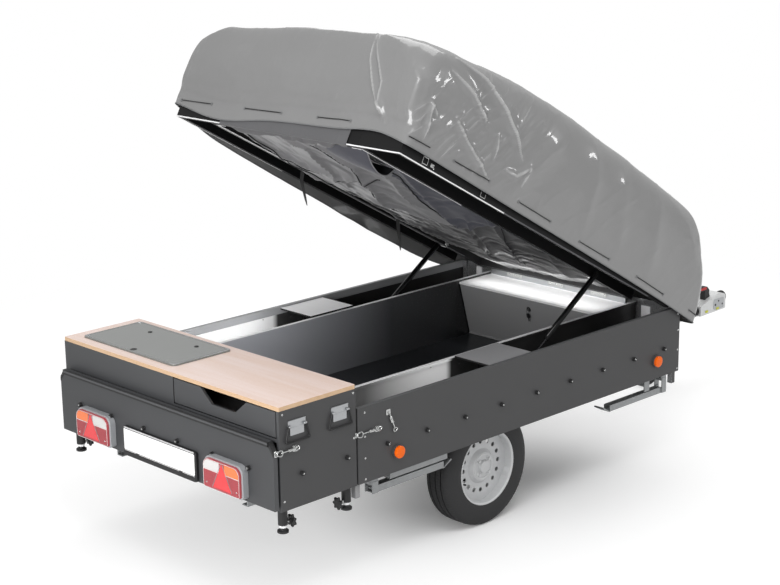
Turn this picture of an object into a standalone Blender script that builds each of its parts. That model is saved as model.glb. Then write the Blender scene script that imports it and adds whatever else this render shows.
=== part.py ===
# Folding camper trailer: a low box body on two wheels, a kitchen cabinet at its rear and a
# hinged bed lid with its soft cover, shown raised on two gas struts.
# Metres. X forward to the coupling, Y left, Z up from the ground.
# X starts at the worktop's rear edge; the empty "trailer" then centres the whole on its origin.

import math

import bmesh
import bpy
from mathutils import Matrix, Vector

LEFT = 1
RIGHT = -1

# Fits and margins
FIT = 0.0003
RUNNING = 0.006
OVERRUN = 0.02
ROUND_SIDES = 20
SMALL_SIDES = 12

# Body box
BODY_LENGTH = 2.31
HALF_WIDTH = 0.7745
PANEL_BOTTOM = 0.476
PANEL_TOP = 0.827
PANEL_THICKNESS = 0.014
PANEL_LIP_THICKNESS = 0.022
PANEL_LIP_HEIGHT = 0.040
END_WALL_THICKNESS = 0.016
REAR_WALL_DROP = 0.020
POST_SIZE = 0.028
POST_BELOW = 0.070
FLOOR_THICKNESS = 0.010
LOCKER_WIDTH = 0.2845
PARTITION_Y = HALF_WIDTH - LOCKER_WIDTH
PARTITION_THICKNESS = 0.012
PARTITION_TOP = 0.810
PARTITION_LIP = 0.010
PARTITION_LIP_HEIGHT = 0.012

# Front box across the well
BOX_TOP_Z = 0.800
BOX_TOP_THICKNESS = 0.012
BULKHEAD_TOP_INSET = 0.337
BULKHEAD_FOOT_INSET = 0.257
BULKHEAD_THICKNESS = 0.012
BULKHEAD_BARREL_RADIUS = 0.006

# Kitchen cabinet behind the body
KITCHEN_DEPTH = 0.437
KITCHEN_GAP = 0.010
KITCHEN_WALL = 0.016
WORKTOP_TOP = 0.941
WORKTOP_THICKNESS = 0.019
WORKTOP_CORNER = 0.006
SHELF_TOP = 0.799
SHELF_THICKNESS = 0.016
DIVIDER_Y = -0.055
DIVIDER_THICKNESS = 0.014
FASCIA_THICKNESS = 0.014
RUNNER_WIDTH = 0.012
RUNNER_HEIGHT = 0.007
RUNNER_INSET = 0.060

# Drawer
DRAWER_FRONT_THICKNESS = 0.014
DRAWER_FRONT_BOTTOM_GAP = 0.006
DRAWER_FRONT_TOP_GAP = 0.005
DRAWER_WALL = 0.010
DRAWER_HEIGHT = 0.085
DRAWER_FRONT_GAP = 0.057
DRAWER_DEPTH = KITCHEN_DEPTH - DRAWER_FRONT_GAP
DRAWER_SIDE_CLEARANCE = 0.012
GRIP_TOP_HALF = 0.155
GRIP_BOTTOM_HALF = 0.080
GRIP_DEPTH = 0.062

# Hob under its glass lid
HOB_REAR_X = 0.057
HOB_FRONT_INSET = 0.042
HOB_FRONT_X = KITCHEN_DEPTH - HOB_FRONT_INSET
HOB_RIGHT_Y = 0.005
HOB_LEFT_INSET = 0.0695
HOB_LEFT_Y = HALF_WIDTH - HOB_LEFT_INSET
HOB_CORNER = 0.022
HOB_BOWL_CORNER = 0.006
HOB_RIM = 0.018
HOB_RIM_THICKNESS = 0.003
HOB_SHEET = 0.003
HOB_BOWL_DEPTH = 0.060
HOB_GLASS_THICKNESS = 0.006
HOB_GLASS_GAP = 0.0005
HOB_HOLE_CLEARANCE = 0.001
BURNER_RADIUS = 0.045
BURNER_HEIGHT = 0.020
BURNER_CAP_RADIUS = 0.030
BURNER_CAP_HEIGHT = 0.008
BURNER_SPREAD_SHARE = 0.271

# Kitchen legs, telescopic
LEG_INSET_X = 0.035
LEG_INSET_Y = 0.0345
LEG_SLEEVE_RADIUS = 0.017
LEG_SLEEVE_BELOW = 0.071
LEG_SLEEVE_TOP = 0.880
LEG_TUBE_RADIUS = 0.0135
LEG_RADIAL_GAP = 0.0006
LEG_TUBE_TOP = 0.850
LEG_FOOT_RADIUS = 0.025
LEG_FOOT_HEIGHT = 0.010
LEG_FOOT_BOTTOM = 0.370
LEG_RING_RADIUS = 0.0165
LEG_RING_HEIGHT = 0.012
LEG_RING_DROP = 0.008

# Tailgate with its lamps and blank plate
TAILGATE_THICKNESS = 0.022
TAILGATE_GAP = 0.0125
TAILGATE_BOTTOM = 0.489
TAILGATE_TOP = 0.7935
TAILGATE_CHAMFER_Y = 0.030
TAILGATE_CHAMFER_Z = 0.045
TAILGATE_LIP = 0.006
TAILGATE_LIP_HEIGHT = 0.022
TAILGATE_BARREL_RADIUS = 0.006
TAILGATE_BARREL_LENGTH = 0.120
TAILGATE_BARREL_INSET = 0.2745
TAILGATE_BARREL_Y = HALF_WIDTH - TAILGATE_BARREL_INSET
TAILGATE_LEAF_HEIGHT = 0.030
LAMP_WIDTH = 0.270
LAMP_PLACE_SHARE = 0.4093
LAMP_BOTTOM = 0.475
LAMP_TOP = 0.655
LAMP_DEPTH = 0.050
LAMP_SMALL_RADIUS = 0.014
LAMP_BIG_RADIUS = 0.042
LAMP_RIM_STEP = 0.012
LAMP_RIM_INSET = 0.008
PLATE_WIDTH = 0.535
PLATE_HEIGHT = 0.140
PLATE_CENTRE_Z = 0.560
PLATE_DEPTH = 0.018
PLATE_RIM = 0.010
PLATE_RECESS = 0.004
LAMP_MIDDLE_Y = PLATE_WIDTH / 2 + LAMP_PLACE_SHARE * (HALF_WIDTH - PLATE_WIDTH / 2)
LAMP_INNER_Y = LAMP_MIDDLE_Y - LAMP_WIDTH / 2
LAMP_OUTER_Y = LAMP_MIDDLE_Y + LAMP_WIDTH / 2

# Wheels and axle
WHEEL_PLACE_SHARE = 0.39784
WHEEL_RADIUS = 0.288
WHEEL_INSET = 0.0745
WHEEL_OUTER_Y = HALF_WIDTH - WHEEL_INSET
WHEEL_WIDTH = 0.155
RIM_RADIUS = 0.178
RIM_FLANGE_RADIUS = 0.186
RIM_THICKNESS = 0.005
RIM_DISC_INSET = 0.052
RIM_DISC_THICKNESS = 0.006
RIM_BOSS_RADIUS = 0.070
RIM_BOSS_STEP = 0.016
RIM_CAP_RADIUS = 0.030
RIM_CAP_HEIGHT = 0.022
RIM_HOLE_COUNT = 16
RIM_HOLE_RADIUS = 0.0115
RIM_HOLE_CIRCLE = 0.122
TYRE_SHOULDER = 0.022
TYRE_SIDE_BULGE = 0.006
TYRE_BEAD_INSET = 0.010
AXLE_TUBE = 0.062
AXLE_AHEAD = 0.150
AXLE_END_INSET = 0.202
AXLE_HALF = WHEEL_OUTER_Y - AXLE_END_INSET
AXLE_ARM_THICKNESS = 0.022
AXLE_ARM_WIDTH = 0.055
DRUM_RADIUS = 0.100
DRUM_LENGTH = 0.060
SPIGOT_RADIUS = 0.028
SPIGOT_GAP = 0.0006

# Wheel boxes with the bridge plates over them
WHEEL_BOX_GAP = 0.045
WHEEL_BOX_SHEET = 0.012
WHEEL_BOX_INSET = 0.178
WHEEL_BOX_INNER_Y = WHEEL_OUTER_Y - WHEEL_BOX_INSET
WHEEL_BOX_SLOPE_X = 0.110
WHEEL_BOX_SLOPE_Z = 0.120
BRIDGE_BEHIND = 0.036
BRIDGE_AHEAD = 0.264
BRIDGE_THICKNESS = 0.010
BRIDGE_DROP = 0.008
BRIDGE_WEB = 0.010

# Chassis
RAIL_INSET = 0.010
RAIL_OUTER_Y = PARTITION_Y - RAIL_INSET
RAIL_WIDTH = 0.040
RAIL_HEIGHT = 0.072
RAIL_WEB = 0.006
RAIL_REAR_X = 0.060
RAIL_FRONT_INSET = 0.040
CROSS_REAR_INSET = 0.050
SILL_INSET = 0.012
SILL_WIDTH = 0.045
SILL_HEIGHT = 0.030
SILL_WHEEL_GAP = 0.060
SILL_STRIP = 0.025
SILL_BEHIND_WHEEL = 0.368
SILL_CLIP_REACH = 0.163
SILL_CLIP_WIDTH = 0.042
SILL_CLIP_SHEET = 0.006
SILL_CLIP_GAP = 0.006
CROSS_WIDTH = 0.040
CROSS_MID_INSET = 0.757
CROSS_FRONT_HEIGHT = 0.029
DRAWBAR_WIDTH = 0.050
DRAWBAR_HEIGHT = 0.060
DRAWBAR_BOTTOM = 0.385
DRAWBAR_REAR_INSET = 0.105
DRAWBAR_REAR_Y = RAIL_OUTER_Y - DRAWBAR_REAR_INSET
NOSE_AHEAD = 0.723
NOSE_WIDTH = 0.060
NOSE_WALL = 0.004

# Coupling head
COUPLING_REACH = 1.487
COUPLING_LENGTH = 0.284
COUPLING_TOP = 0.500
COUPLING_BOTTOM = 0.392
COUPLING_HALF = 0.046
COUPLING_CORNER = 0.030
BALL_BEHIND_TIP = 0.074
BALL_SOCKET_RADIUS = 0.026
BALL_SOCKET_DEPTH = 0.050
HANDLE_PIVOT_BEHIND_TIP = 0.184
HANDLE_LENGTH = 0.160
HANDLE_TOP = 0.548
HANDLE_THICKNESS = 0.022
HANDLE_HALF = 0.018

# Jockey wheel
JOCKEY_AHEAD_OF_NOSE = 0.200
JOCKEY_Y = 0.100
JOCKEY_TUBE_RADIUS = 0.024
JOCKEY_TUBE_WALL = 0.003
JOCKEY_TUBE_TOP = 0.690
JOCKEY_TUBE_BOTTOM = 0.388
JOCKEY_LEG_RADIUS = 0.0205
JOCKEY_LEG_TOP = 0.520
JOCKEY_WHEEL_RADIUS = 0.100
JOCKEY_WHEEL_WIDTH = 0.055
JOCKEY_HUB_RADIUS = 0.055
JOCKEY_TRAIL = 0.030
FORK_THICKNESS = 0.005
FORK_CROWN_Z = 0.212
FORK_CROWN_THICKNESS = 0.010
FORK_GAP = 0.006
FORK_ARM_WIDTH = 0.036
JOCKEY_AXLE_RADIUS = 0.006
JOCKEY_AXLE_GAP = 0.0006
CRANK_RADIUS = 0.008
CRANK_RISE = 0.020
CRANK_REACH = 0.095
CRANK_GRIP = 0.055
CLAMP_LENGTH = 0.070
CLAMP_HEIGHT = 0.050

# Corner steadies, stowed along the sills
STEADY_PIVOT_INSET = 0.075
STEADY_LENGTH_SHARE = 0.7706
STEADY_HEEL = 0.011
STEADY_WIDTH = 0.040
STEADY_DEPTH = 0.036
STEADY_WALL = 0.004
STEADY_PIVOT_DROP = 0.022
STEADY_FRONT_DROP = 0.048
STEADY_FOOT_LENGTH = 0.055
STEADY_FOOT_WIDTH = 0.080
STEADY_FOOT_THICKNESS = 0.006
STEADY_EAR = 0.005
STEADY_EAR_GAP = 0.0008
STEADY_PIN_RADIUS = 0.006
STEADY_EAR_HALF = 0.018

# Marker lamps on the side panels
MARKER_INSET_X = 0.240
MARKER_FRONT_INSET_X = 0.194
MARKER_Z = 0.571
MARKER_RADIUS = 0.034
MARKER_LENS_RADIUS = 0.030
MARKER_DEPTH = 0.018
MARKER_STEP = 0.008

# Lid on its hinge, sizes counted from the hinge line: u rearwards, v upwards when shut
LID_ANGLE = math.radians(29.03)
HINGE_INSET = 0.089
HINGE_Z = 0.860
LID_SHORTER = 0.100
LID_LENGTH = BODY_LENGTH - LID_SHORTER
LID_EDGE = 0.0005
LID_HALF = HALF_WIDTH - LID_EDGE
LID_INNER_STEP = 0.020
LID_SIDE_INNER = PARTITION_Y + LID_INNER_STEP
LID_RAIL_OUTER_WIDTH = 0.030
LID_RAIL_INNER_WIDTH = 0.025
LID_BOTTOM = -0.027
LID_TOP = 0.051
LID_BOARD = 0.012
LID_BEAM_WIDTH = 0.040
LID_FRONT_GAP = 0.014
HINGE_BARREL_RADIUS = 0.007
HINGE_BARREL_LENGTH = 0.060
HINGE_SPREAD_SHARE = 0.6123
HINGE_SPREAD = PARTITION_Y * HINGE_SPREAD_SHARE
HINGE_RAIL_HALF = PARTITION_Y - RAIL_INSET
HINGE_LEAF = 0.005
HINGE_FLANGE = 0.030
HINGE_ARM_HEIGHT = 0.010

# Gas struts
STRUT_FROM_RAIL = 0.045
STRUT_Y = LID_SIDE_INNER + STRUT_FROM_RAIL
STRUT_TOP_U = 0.3763
STRUT_TOP_V = -0.0041
STRUT_FOOT_OVER_BOX = 0.029
STRUT_FOOT_Z = 0.591
STRUT_TUBE_RADIUS = 0.011
STRUT_TUBE_BORE = 0.0068
STRUT_TUBE_LENGTH = 0.470
STRUT_ROD_RADIUS = 0.006
STRUT_ROD_START = 0.400
STRUT_EYE_RADIUS = 0.012
STRUT_EYE_BORE = 0.0053
STRUT_EYE_WIDTH = 0.010
STRUT_PIN_RADIUS = 0.0048
STRUT_BOSS = 0.016
STRUT_SHOULDER = 0.004

# Tent folded under the lid, and the cover over it
TENT_FRONT_U = 0.070
TENT_REAR_INSET = 0.050
TENT_REAR_U = LID_LENGTH - TENT_REAR_INSET
TENT_SAG_EDGE = 0.012
TENT_SAG_HALF = PARTITION_Y - TENT_SAG_EDGE
TENT_SAG_BOTTOM = -0.060
TENT_MID_SAG = 0.035
TENT_SIDE_GAP = 0.0006
TENT_TOP_GAP = 0.0010
COVER_OVERHANG = 0.0255
COVER_HALF = HALF_WIDTH + COVER_OVERHANG
COVER_SHEET = 0.006
COVER_CREST_INSET = 0.160
COVER_CREST_HALF = COVER_HALF - COVER_CREST_INSET
COVER_CROWN = 0.020
COVER_HEIGHT = 0.560
COVER_SKIRT = 0.095
# Cover stations as shares: u of the hem and of the shoulder along the lid's length, then
# heights of the hem, shoulder and crest against the cover's height
COVER_STATION_SHARES = (
    (1.0072, 1.0294, 0.018, 0.572, 0.804),
    (0.8869, 0.9050, 0.018, 0.688, 0.902),
    (0.6335, 0.6425, 0.007, 0.768, 1.000),
    (0.3620, 0.3620, -0.011, 0.768, 0.988),
    (0.1493, 0.1493, -0.027, 0.732, 0.943),
    (-0.1109, -0.0679, -0.045, 0.598, 0.839),
)
COVER_FRONT_NARROWING = 0.010

# Places worked out from the sizes above
BODY_REAR = KITCHEN_DEPTH + KITCHEN_GAP
BODY_FRONT = BODY_REAR + BODY_LENGTH
FLOOR_TOP = PANEL_BOTTOM + FLOOR_THICKNESS
KITCHEN_BOTTOM = PANEL_BOTTOM
INNER_Y = HALF_WIDTH - PANEL_THICKNESS
CHASSIS_TOP = PANEL_BOTTOM - FIT
RAIL_BOTTOM = CHASSIS_TOP - RAIL_HEIGHT
WORKTOP_BOTTOM = WORKTOP_TOP - WORKTOP_THICKNESS
WHEEL_INNER_Y = WHEEL_OUTER_Y - WHEEL_WIDTH
WHEEL_X = BODY_REAR + WHEEL_PLACE_SHARE * BODY_LENGTH
BRIDGE_REAR_X = WHEEL_X - BRIDGE_BEHIND
BRIDGE_FRONT_X = WHEEL_X + BRIDGE_AHEAD
BULKHEAD_TOP_X = BODY_FRONT - BULKHEAD_TOP_INSET
BULKHEAD_FOOT_X = BODY_FRONT - BULKHEAD_FOOT_INSET
CROSS_MID_X = BODY_FRONT - CROSS_MID_INSET
NOSE_REAR_X = BODY_FRONT + NOSE_AHEAD
COUPLING_TIP_X = BODY_FRONT + COUPLING_REACH
COUPLING_REAR_X = COUPLING_TIP_X - COUPLING_LENGTH
BALL_X = COUPLING_TIP_X - BALL_BEHIND_TIP
HANDLE_PIVOT_X = COUPLING_TIP_X - HANDLE_PIVOT_BEHIND_TIP
HANDLE_REAR_X = HANDLE_PIVOT_X - HANDLE_LENGTH
JOCKEY_X = NOSE_REAR_X + JOCKEY_AHEAD_OF_NOSE
HINGE_X = BODY_FRONT - HINGE_INSET
STRUT_FOOT_X = WHEEL_X + WHEEL_RADIUS + WHEEL_BOX_GAP - STRUT_FOOT_OVER_BOX
STEADY_LENGTH = STEADY_LENGTH_SHARE * (WHEEL_X - WHEEL_RADIUS - SILL_WHEEL_GAP - BODY_REAR)
TAILGATE_FACE = -TAILGATE_GAP - TAILGATE_THICKNESS
REARMOST = TAILGATE_FACE - FIT - LAMP_DEPTH
CENTRE_X = (REARMOST + COUPLING_TIP_X) / 2
TAILGATE_AXIS = Vector((-TAILGATE_GAP + TAILGATE_BARREL_RADIUS, 0, TAILGATE_BOTTOM))
DRAWBAR_TOP = DRAWBAR_BOTTOM + DRAWBAR_HEIGHT


# Shapes

def from_faces(points, faces):
    """A bmesh from points and faces, with its faces turned outwards."""
    shape = bmesh.new()
    verts = [shape.verts.new(point) for point in points]
    for face in faces:
        shape.faces.new([verts[index] for index in face])
    bmesh.ops.recalc_face_normals(shape, faces=shape.faces)
    return shape


def prism(outline, low, high, place):
    """An outline of pairs pushed from low to high; place(a, b, c) gives the point."""
    count = len(outline)
    points = [place(a, b, low) for a, b in outline] + [place(a, b, high) for a, b in outline]
    sides = [(i, (i + 1) % count, (i + 1) % count + count, i + count) for i in range(count)]
    return from_faces(points, [tuple(range(count)), tuple(range(count, 2 * count))] + sides)


def along_x(outline_yz, x0, x1):
    return prism(outline_yz, x0, x1, lambda y, z, x: (x, y, z))


def along_y(outline_xz, y0, y1):
    return prism(outline_xz, y0, y1, lambda x, z, y: (x, y, z))


def along_z(outline_xy, z0, z1):
    return prism(outline_xy, z0, z1, lambda x, y, z: (x, y, z))


def slab(x0, x1, y0, y1, z0, z1):
    return along_z(((x0, y0), (x1, y0), (x1, y1), (x0, y1)), z0, z1)


def rod(start, end, radius, sides=SMALL_SIDES, end_radius=None):
    """A round bar between two points, with an optional taper."""
    start, end = Vector(start), Vector(end)
    span = end - start
    shape = bmesh.new()
    turn = Vector((0, 0, 1)).rotation_difference(span).to_matrix().to_4x4()
    place = Matrix.Translation((start + end) / 2) @ turn
    bmesh.ops.create_cone(shape, cap_ends=True, segments=sides, radius1=radius,
                          radius2=radius if end_radius is None else end_radius,
                          depth=span.length, matrix=place)
    return shape


def turned(profile, centre, side, sides):
    """A profile of (radius, y) pairs turned about the Y axis through centre."""
    rings = []
    for radius, y in profile:
        ring = []
        for step in range(sides):
            angle = 2 * math.pi * step / sides
            ring.append((centre[0] + radius * math.cos(angle), side * y,
                         centre[2] + radius * math.sin(angle)))
        rings.append(ring)
    points = [point for ring in rings for point in ring]
    faces = []
    for row in range(len(rings)):
        nxt = (row + 1) % len(rings)
        for step in range(sides):
            other = (step + 1) % sides
            faces.append((row * sides + step, row * sides + other,
                          nxt * sides + other, nxt * sides + step))
    return from_faces(points, faces)


def rounded(x0, x1, y0, y1, radii, steps=5):
    """A rectangle's outline with a radius at each corner, from low-low anticlockwise."""
    corners = ((x0, y0, 1, 1, 180), (x1, y0, -1, 1, 270), (x1, y1, -1, -1, 0), (x0, y1, 1, -1, 90))
    outline = []
    for (x, y, dx, dy, start), radius in zip(corners, radii):
        centre_x, centre_y = x + dx * radius, y + dy * radius
        for step in range(steps + 1):
            angle = math.radians(start + 90 * step / steps)
            outline.append((centre_x + radius * math.cos(angle),
                            centre_y + radius * math.sin(angle)))
    return outline


def mirrored(shape, side):
    """The shape as drawn for the left, or turned over to the right."""
    if side == RIGHT:
        bmesh.ops.scale(shape, vec=(1, RIGHT, 1), verts=shape.verts)
        bmesh.ops.reverse_faces(shape, faces=shape.faces)
    return shape


def scratch_object(shape, name):
    mesh = bpy.data.meshes.new(name)
    shape.to_mesh(mesh)
    shape.free()
    thing = bpy.data.objects.new(name, mesh)
    bpy.context.scene.collection.objects.link(thing)
    return thing


def boolean(base, tools, operation):
    """The base shape with the tools cut away or joined on."""
    body = scratch_object(base, "body")
    cutters = []
    for tool in tools:
        cutters.append(scratch_object(tool, "tool"))
        step = body.modifiers.new("step", "BOOLEAN")
        step.operation = operation
        step.object = cutters[-1]
    depsgraph = bpy.context.evaluated_depsgraph_get()
    mesh = bpy.data.meshes.new_from_object(body.evaluated_get(depsgraph))
    result = bmesh.new()
    result.from_mesh(mesh)
    bpy.data.meshes.remove(mesh)
    for thing in [body] + cutters:
        old = thing.data
        bpy.data.objects.remove(thing)
        bpy.data.meshes.remove(old)
    return result


def cut(base, *tools):
    return boolean(base, tools, "DIFFERENCE")


def gathered(shapes):
    """Several separate shapes as one, for a single cut."""
    whole = shapes[0]
    for shape in shapes[1:]:
        mesh = bpy.data.meshes.new("part")
        shape.to_mesh(mesh)
        shape.free()
        whole.from_mesh(mesh)
        bpy.data.meshes.remove(mesh)
    return whole


def join(base, *tools):
    return boolean(base, tools, "UNION")


# Materials and nodes

def material(name, colour, roughness, metallic=0.0):
    made = bpy.data.materials.new(name)
    made.use_nodes = True
    shader = made.node_tree.nodes["Principled BSDF"]
    shader.inputs["Base Color"].default_value = (*colour, 1)
    shader.inputs["Roughness"].default_value = roughness
    shader.inputs["Metallic"].default_value = metallic
    return made


def empty(name, place=(0, 0, 0), parent=None, tilt=0.0):
    thing = bpy.data.objects.new(name, None)
    bpy.context.scene.collection.objects.link(thing)
    thing.location = place
    thing.rotation_euler = (0, tilt, 0)
    thing.parent = parent
    return thing


def node(name, shape, skin, parent, pivot=(0, 0, 0), smooth=False):
    """One named solid; its origin goes to pivot, in its parent's frame."""
    pivot = Vector(pivot)
    bmesh.ops.translate(shape, vec=-pivot, verts=shape.verts)
    bmesh.ops.recalc_face_normals(shape, faces=shape.faces)
    mesh = bpy.data.meshes.new(name)
    shape.to_mesh(mesh)
    shape.free()
    if smooth:
        mesh.shade_smooth()
        mesh.set_sharp_from_angle(angle=math.radians(35))
    mesh.materials.append(skin)
    thing = bpy.data.objects.new(name, mesh)
    bpy.context.scene.collection.objects.link(thing)
    thing.location = pivot
    thing.parent = parent
    return thing


def both(text):
    return ((text + "_left", LEFT), (text + "_right", RIGHT))


# Body

def marker_lamp(x):
    """A round side lamp: its base on the panel's face and the domed lens."""
    base_y = HALF_WIDTH - PANEL_THICKNESS / 2
    base = rod((x, base_y, MARKER_Z), (x, HALF_WIDTH + MARKER_STEP, MARKER_Z), MARKER_RADIUS, ROUND_SIDES)
    lens = rod((x, base_y, MARKER_Z), (x, HALF_WIDTH + MARKER_DEPTH, MARKER_Z), MARKER_LENS_RADIUS,
               ROUND_SIDES, MARKER_LENS_RADIUS - MARKER_STEP / 2)
    return [base, lens]


def side_panel(name, side, skin, parent):
    """A flat panel with a thicker lip along its top, and its two marker lamps."""
    lip_y = HALF_WIDTH - PANEL_LIP_THICKNESS
    lip_z = PANEL_TOP - PANEL_LIP_HEIGHT
    outline = ((HALF_WIDTH, PANEL_BOTTOM), (HALF_WIDTH, PANEL_TOP), (lip_y, PANEL_TOP),
               (lip_y, lip_z), (INNER_Y, lip_z), (INNER_Y, PANEL_BOTTOM))
    lamps = []
    for x in (BODY_REAR + MARKER_INSET_X, BODY_FRONT - MARKER_FRONT_INSET_X):
        lamps += marker_lamp(x)
    shape = join(along_x(outline, BODY_REAR, BODY_FRONT), *lamps)
    node(name, mirrored(shape, side), skin, parent)


def end_wall(name, x0, top, post_x0, skin, parent):
    """A wall across the body with the two corner posts that reach below it."""
    half = HALF_WIDTH - PANEL_LIP_THICKNESS - FIT
    shape = slab(x0, x0 + END_WALL_THICKNESS, -half, half, PANEL_BOTTOM, top)
    for side in (LEFT, RIGHT):
        post = slab(post_x0, post_x0 + POST_SIZE, half - POST_SIZE, half,
                    PANEL_BOTTOM - POST_BELOW, top)
        shape = join(shape, mirrored(post, side))
    node(name, shape, skin, parent)


def floor(skin, parent):
    x0 = BODY_REAR + POST_SIZE + FIT
    x1 = BODY_FRONT - POST_SIZE - FIT
    half = INNER_Y - FIT
    shape = slab(x0, x1, -half, half, PANEL_BOTTOM, FLOOR_TOP)
    reach = WHEEL_RADIUS + WHEEL_BOX_GAP
    for side in (LEFT, RIGHT):
        hole = slab(WHEEL_X - reach, WHEEL_X + reach, WHEEL_BOX_INNER_Y + WHEEL_BOX_SHEET,
                    half - WHEEL_BOX_SHEET, PANEL_BOTTOM - OVERRUN, FLOOR_TOP + OVERRUN)
        shape = cut(shape, mirrored(hole, side))
    node("floor", shape, skin, parent)


def partition(name, side, skin, parent):
    """The wall between the well and a side locker, with the strut's boss on its outer face."""
    inner = PARTITION_Y
    outer = PARTITION_Y + PARTITION_THICKNESS
    lip = outer + PARTITION_LIP
    lip_z = PARTITION_TOP - PARTITION_LIP_HEIGHT
    low = FLOOR_TOP + FIT
    outline = ((inner, low), (outer, low), (outer, lip_z), (lip, lip_z), (lip, PARTITION_TOP),
               (inner, PARTITION_TOP))
    x0 = BODY_REAR + POST_SIZE + FIT
    x1 = BODY_FRONT - POST_SIZE - FIT
    shape = along_x(outline, x0, x1)
    foot = (STRUT_FOOT_X, STRUT_FOOT_Z)
    eye_side = STRUT_Y - max(STRUT_EYE_WIDTH / 2, STRUT_ROD_RADIUS)
    middle = (inner + outer) / 2
    boss = rod((foot[0], middle, foot[1]), (foot[0], eye_side - STRUT_SHOULDER, foot[1]),
               STRUT_BOSS, ROUND_SIDES)
    pin = rod((foot[0], middle, foot[1]), (foot[0], eye_side - FIT, foot[1]), STRUT_PIN_RADIUS)
    node(name, mirrored(join(shape, boss, pin), side), skin, parent)


def bulkhead(skin, parent):
    """The front box's door: it leans back at the top and swings down into the well."""
    half = PARTITION_Y - RUNNING
    foot_z = FLOOR_TOP + FIT + BULKHEAD_BARREL_RADIUS
    top = BOX_TOP_Z - BOX_TOP_THICKNESS - FIT
    outline = ((BULKHEAD_FOOT_X, foot_z), (BULKHEAD_FOOT_X + BULKHEAD_THICKNESS, foot_z),
               (BULKHEAD_TOP_X + BULKHEAD_THICKNESS, top), (BULKHEAD_TOP_X, top))
    axis_x = BULKHEAD_FOOT_X
    barrel = rod((axis_x, -half, foot_z), (axis_x, half, foot_z), BULKHEAD_BARREL_RADIUS)
    node("bulkhead", join(along_y(outline, -half, half), barrel), skin, parent,
         pivot=(axis_x, 0, foot_z))


def front_box_top(skin, parent):
    half = PARTITION_Y - FIT
    x1 = BODY_FRONT - END_WALL_THICKNESS - FIT
    node("front_box_top", slab(BULKHEAD_TOP_X, x1, -half, half,
                               BOX_TOP_Z - BOX_TOP_THICKNESS, BOX_TOP_Z), skin, parent)


def wheel_box(name, side, skin, parent):
    """The sheet box over a wheel, a web on it, and the bridge plate that the web carries."""
    reach = WHEEL_RADIUS + WHEEL_BOX_GAP
    low = FLOOR_TOP + FIT
    top = 2 * WHEEL_RADIUS + WHEEL_BOX_GAP

    def outline(grow, base):
        return ((WHEEL_X - reach - grow, base),
                (WHEEL_X - reach - grow, top + grow - WHEEL_BOX_SLOPE_Z),
                (WHEEL_X - reach - grow + WHEEL_BOX_SLOPE_X, top + grow),
                (WHEEL_X + reach + grow - WHEEL_BOX_SLOPE_X, top + grow),
                (WHEEL_X + reach + grow, top + grow - WHEEL_BOX_SLOPE_Z),
                (WHEEL_X + reach + grow, base))

    outer_y = INNER_Y - FIT
    shell = along_y(outline(WHEEL_BOX_SHEET, low), WHEEL_BOX_INNER_Y, outer_y)
    hollow = along_y(outline(0, low - OVERRUN), WHEEL_BOX_INNER_Y + WHEEL_BOX_SHEET,
                     outer_y + OVERRUN)
    shell = cut(shell, hollow)
    plate_top = PANEL_TOP - BRIDGE_DROP
    web_x = (BRIDGE_REAR_X + BRIDGE_FRONT_X) / 2
    web = slab(web_x, web_x + BRIDGE_WEB, WHEEL_BOX_INNER_Y, outer_y - PANEL_LIP_THICKNESS,
               top + WHEEL_BOX_SHEET / 2, plate_top - BRIDGE_THICKNESS / 2)
    plate_inner = PARTITION_Y + PARTITION_THICKNESS + PARTITION_LIP + FIT
    plate = slab(BRIDGE_REAR_X, BRIDGE_FRONT_X, plate_inner,
                 HALF_WIDTH - PANEL_LIP_THICKNESS - FIT, plate_top - BRIDGE_THICKNESS, plate_top)
    node(name, mirrored(join(shell, web, plate), side), skin, parent)


# Chassis

def channel_outline(y0, y1, z0, z1, web):
    """A C section open towards y0."""
    return ((y0, z0), (y1, z0), (y1, z1), (y0, z1), (y0, z1 - web), (y1 - web, z1 - web),
            (y1 - web, z0 + web), (y0, z0 + web))


def chassis_rail(name, side, skin, parent):
    outline = channel_outline(RAIL_OUTER_Y - RAIL_WIDTH, RAIL_OUTER_Y, RAIL_BOTTOM, CHASSIS_TOP,
                              RAIL_WEB)
    shape = along_x(outline, RAIL_REAR_X, BODY_FRONT - RAIL_FRONT_INSET)
    node(name, mirrored(shape, side), skin, parent)


def cross_member(name, x0, z0, skin, parent):
    half = RAIL_OUTER_Y - RAIL_WIDTH - FIT
    outline = ((x0, z0), (x0 + CROSS_WIDTH, z0), (x0 + CROSS_WIDTH, CHASSIS_TOP), (x0, CHASSIS_TOP))
    node(name, along_y(outline, -half, half), skin, parent)


def sill_span(end):
    """Where a sill runs: the rear ones stop behind the wheel, the front ones start ahead."""
    clear = WHEEL_RADIUS + SILL_WHEEL_GAP
    if end == "rear":
        return BODY_REAR + POST_SIZE + RUNNING, WHEEL_X - clear
    return WHEEL_X + clear, BODY_FRONT - POST_SIZE - RUNNING


def steady_pivot(end):
    x0, x1 = sill_span(end)
    x = x0 + STEADY_PIVOT_INSET if end == "rear" else x1 - STEADY_PIVOT_INSET
    y = HALF_WIDTH - SILL_INSET - SILL_WIDTH / 2
    drop = STEADY_PIVOT_DROP if end == "rear" else STEADY_FRONT_DROP
    return Vector((x, y, CHASSIS_TOP - SILL_HEIGHT - drop))


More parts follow.
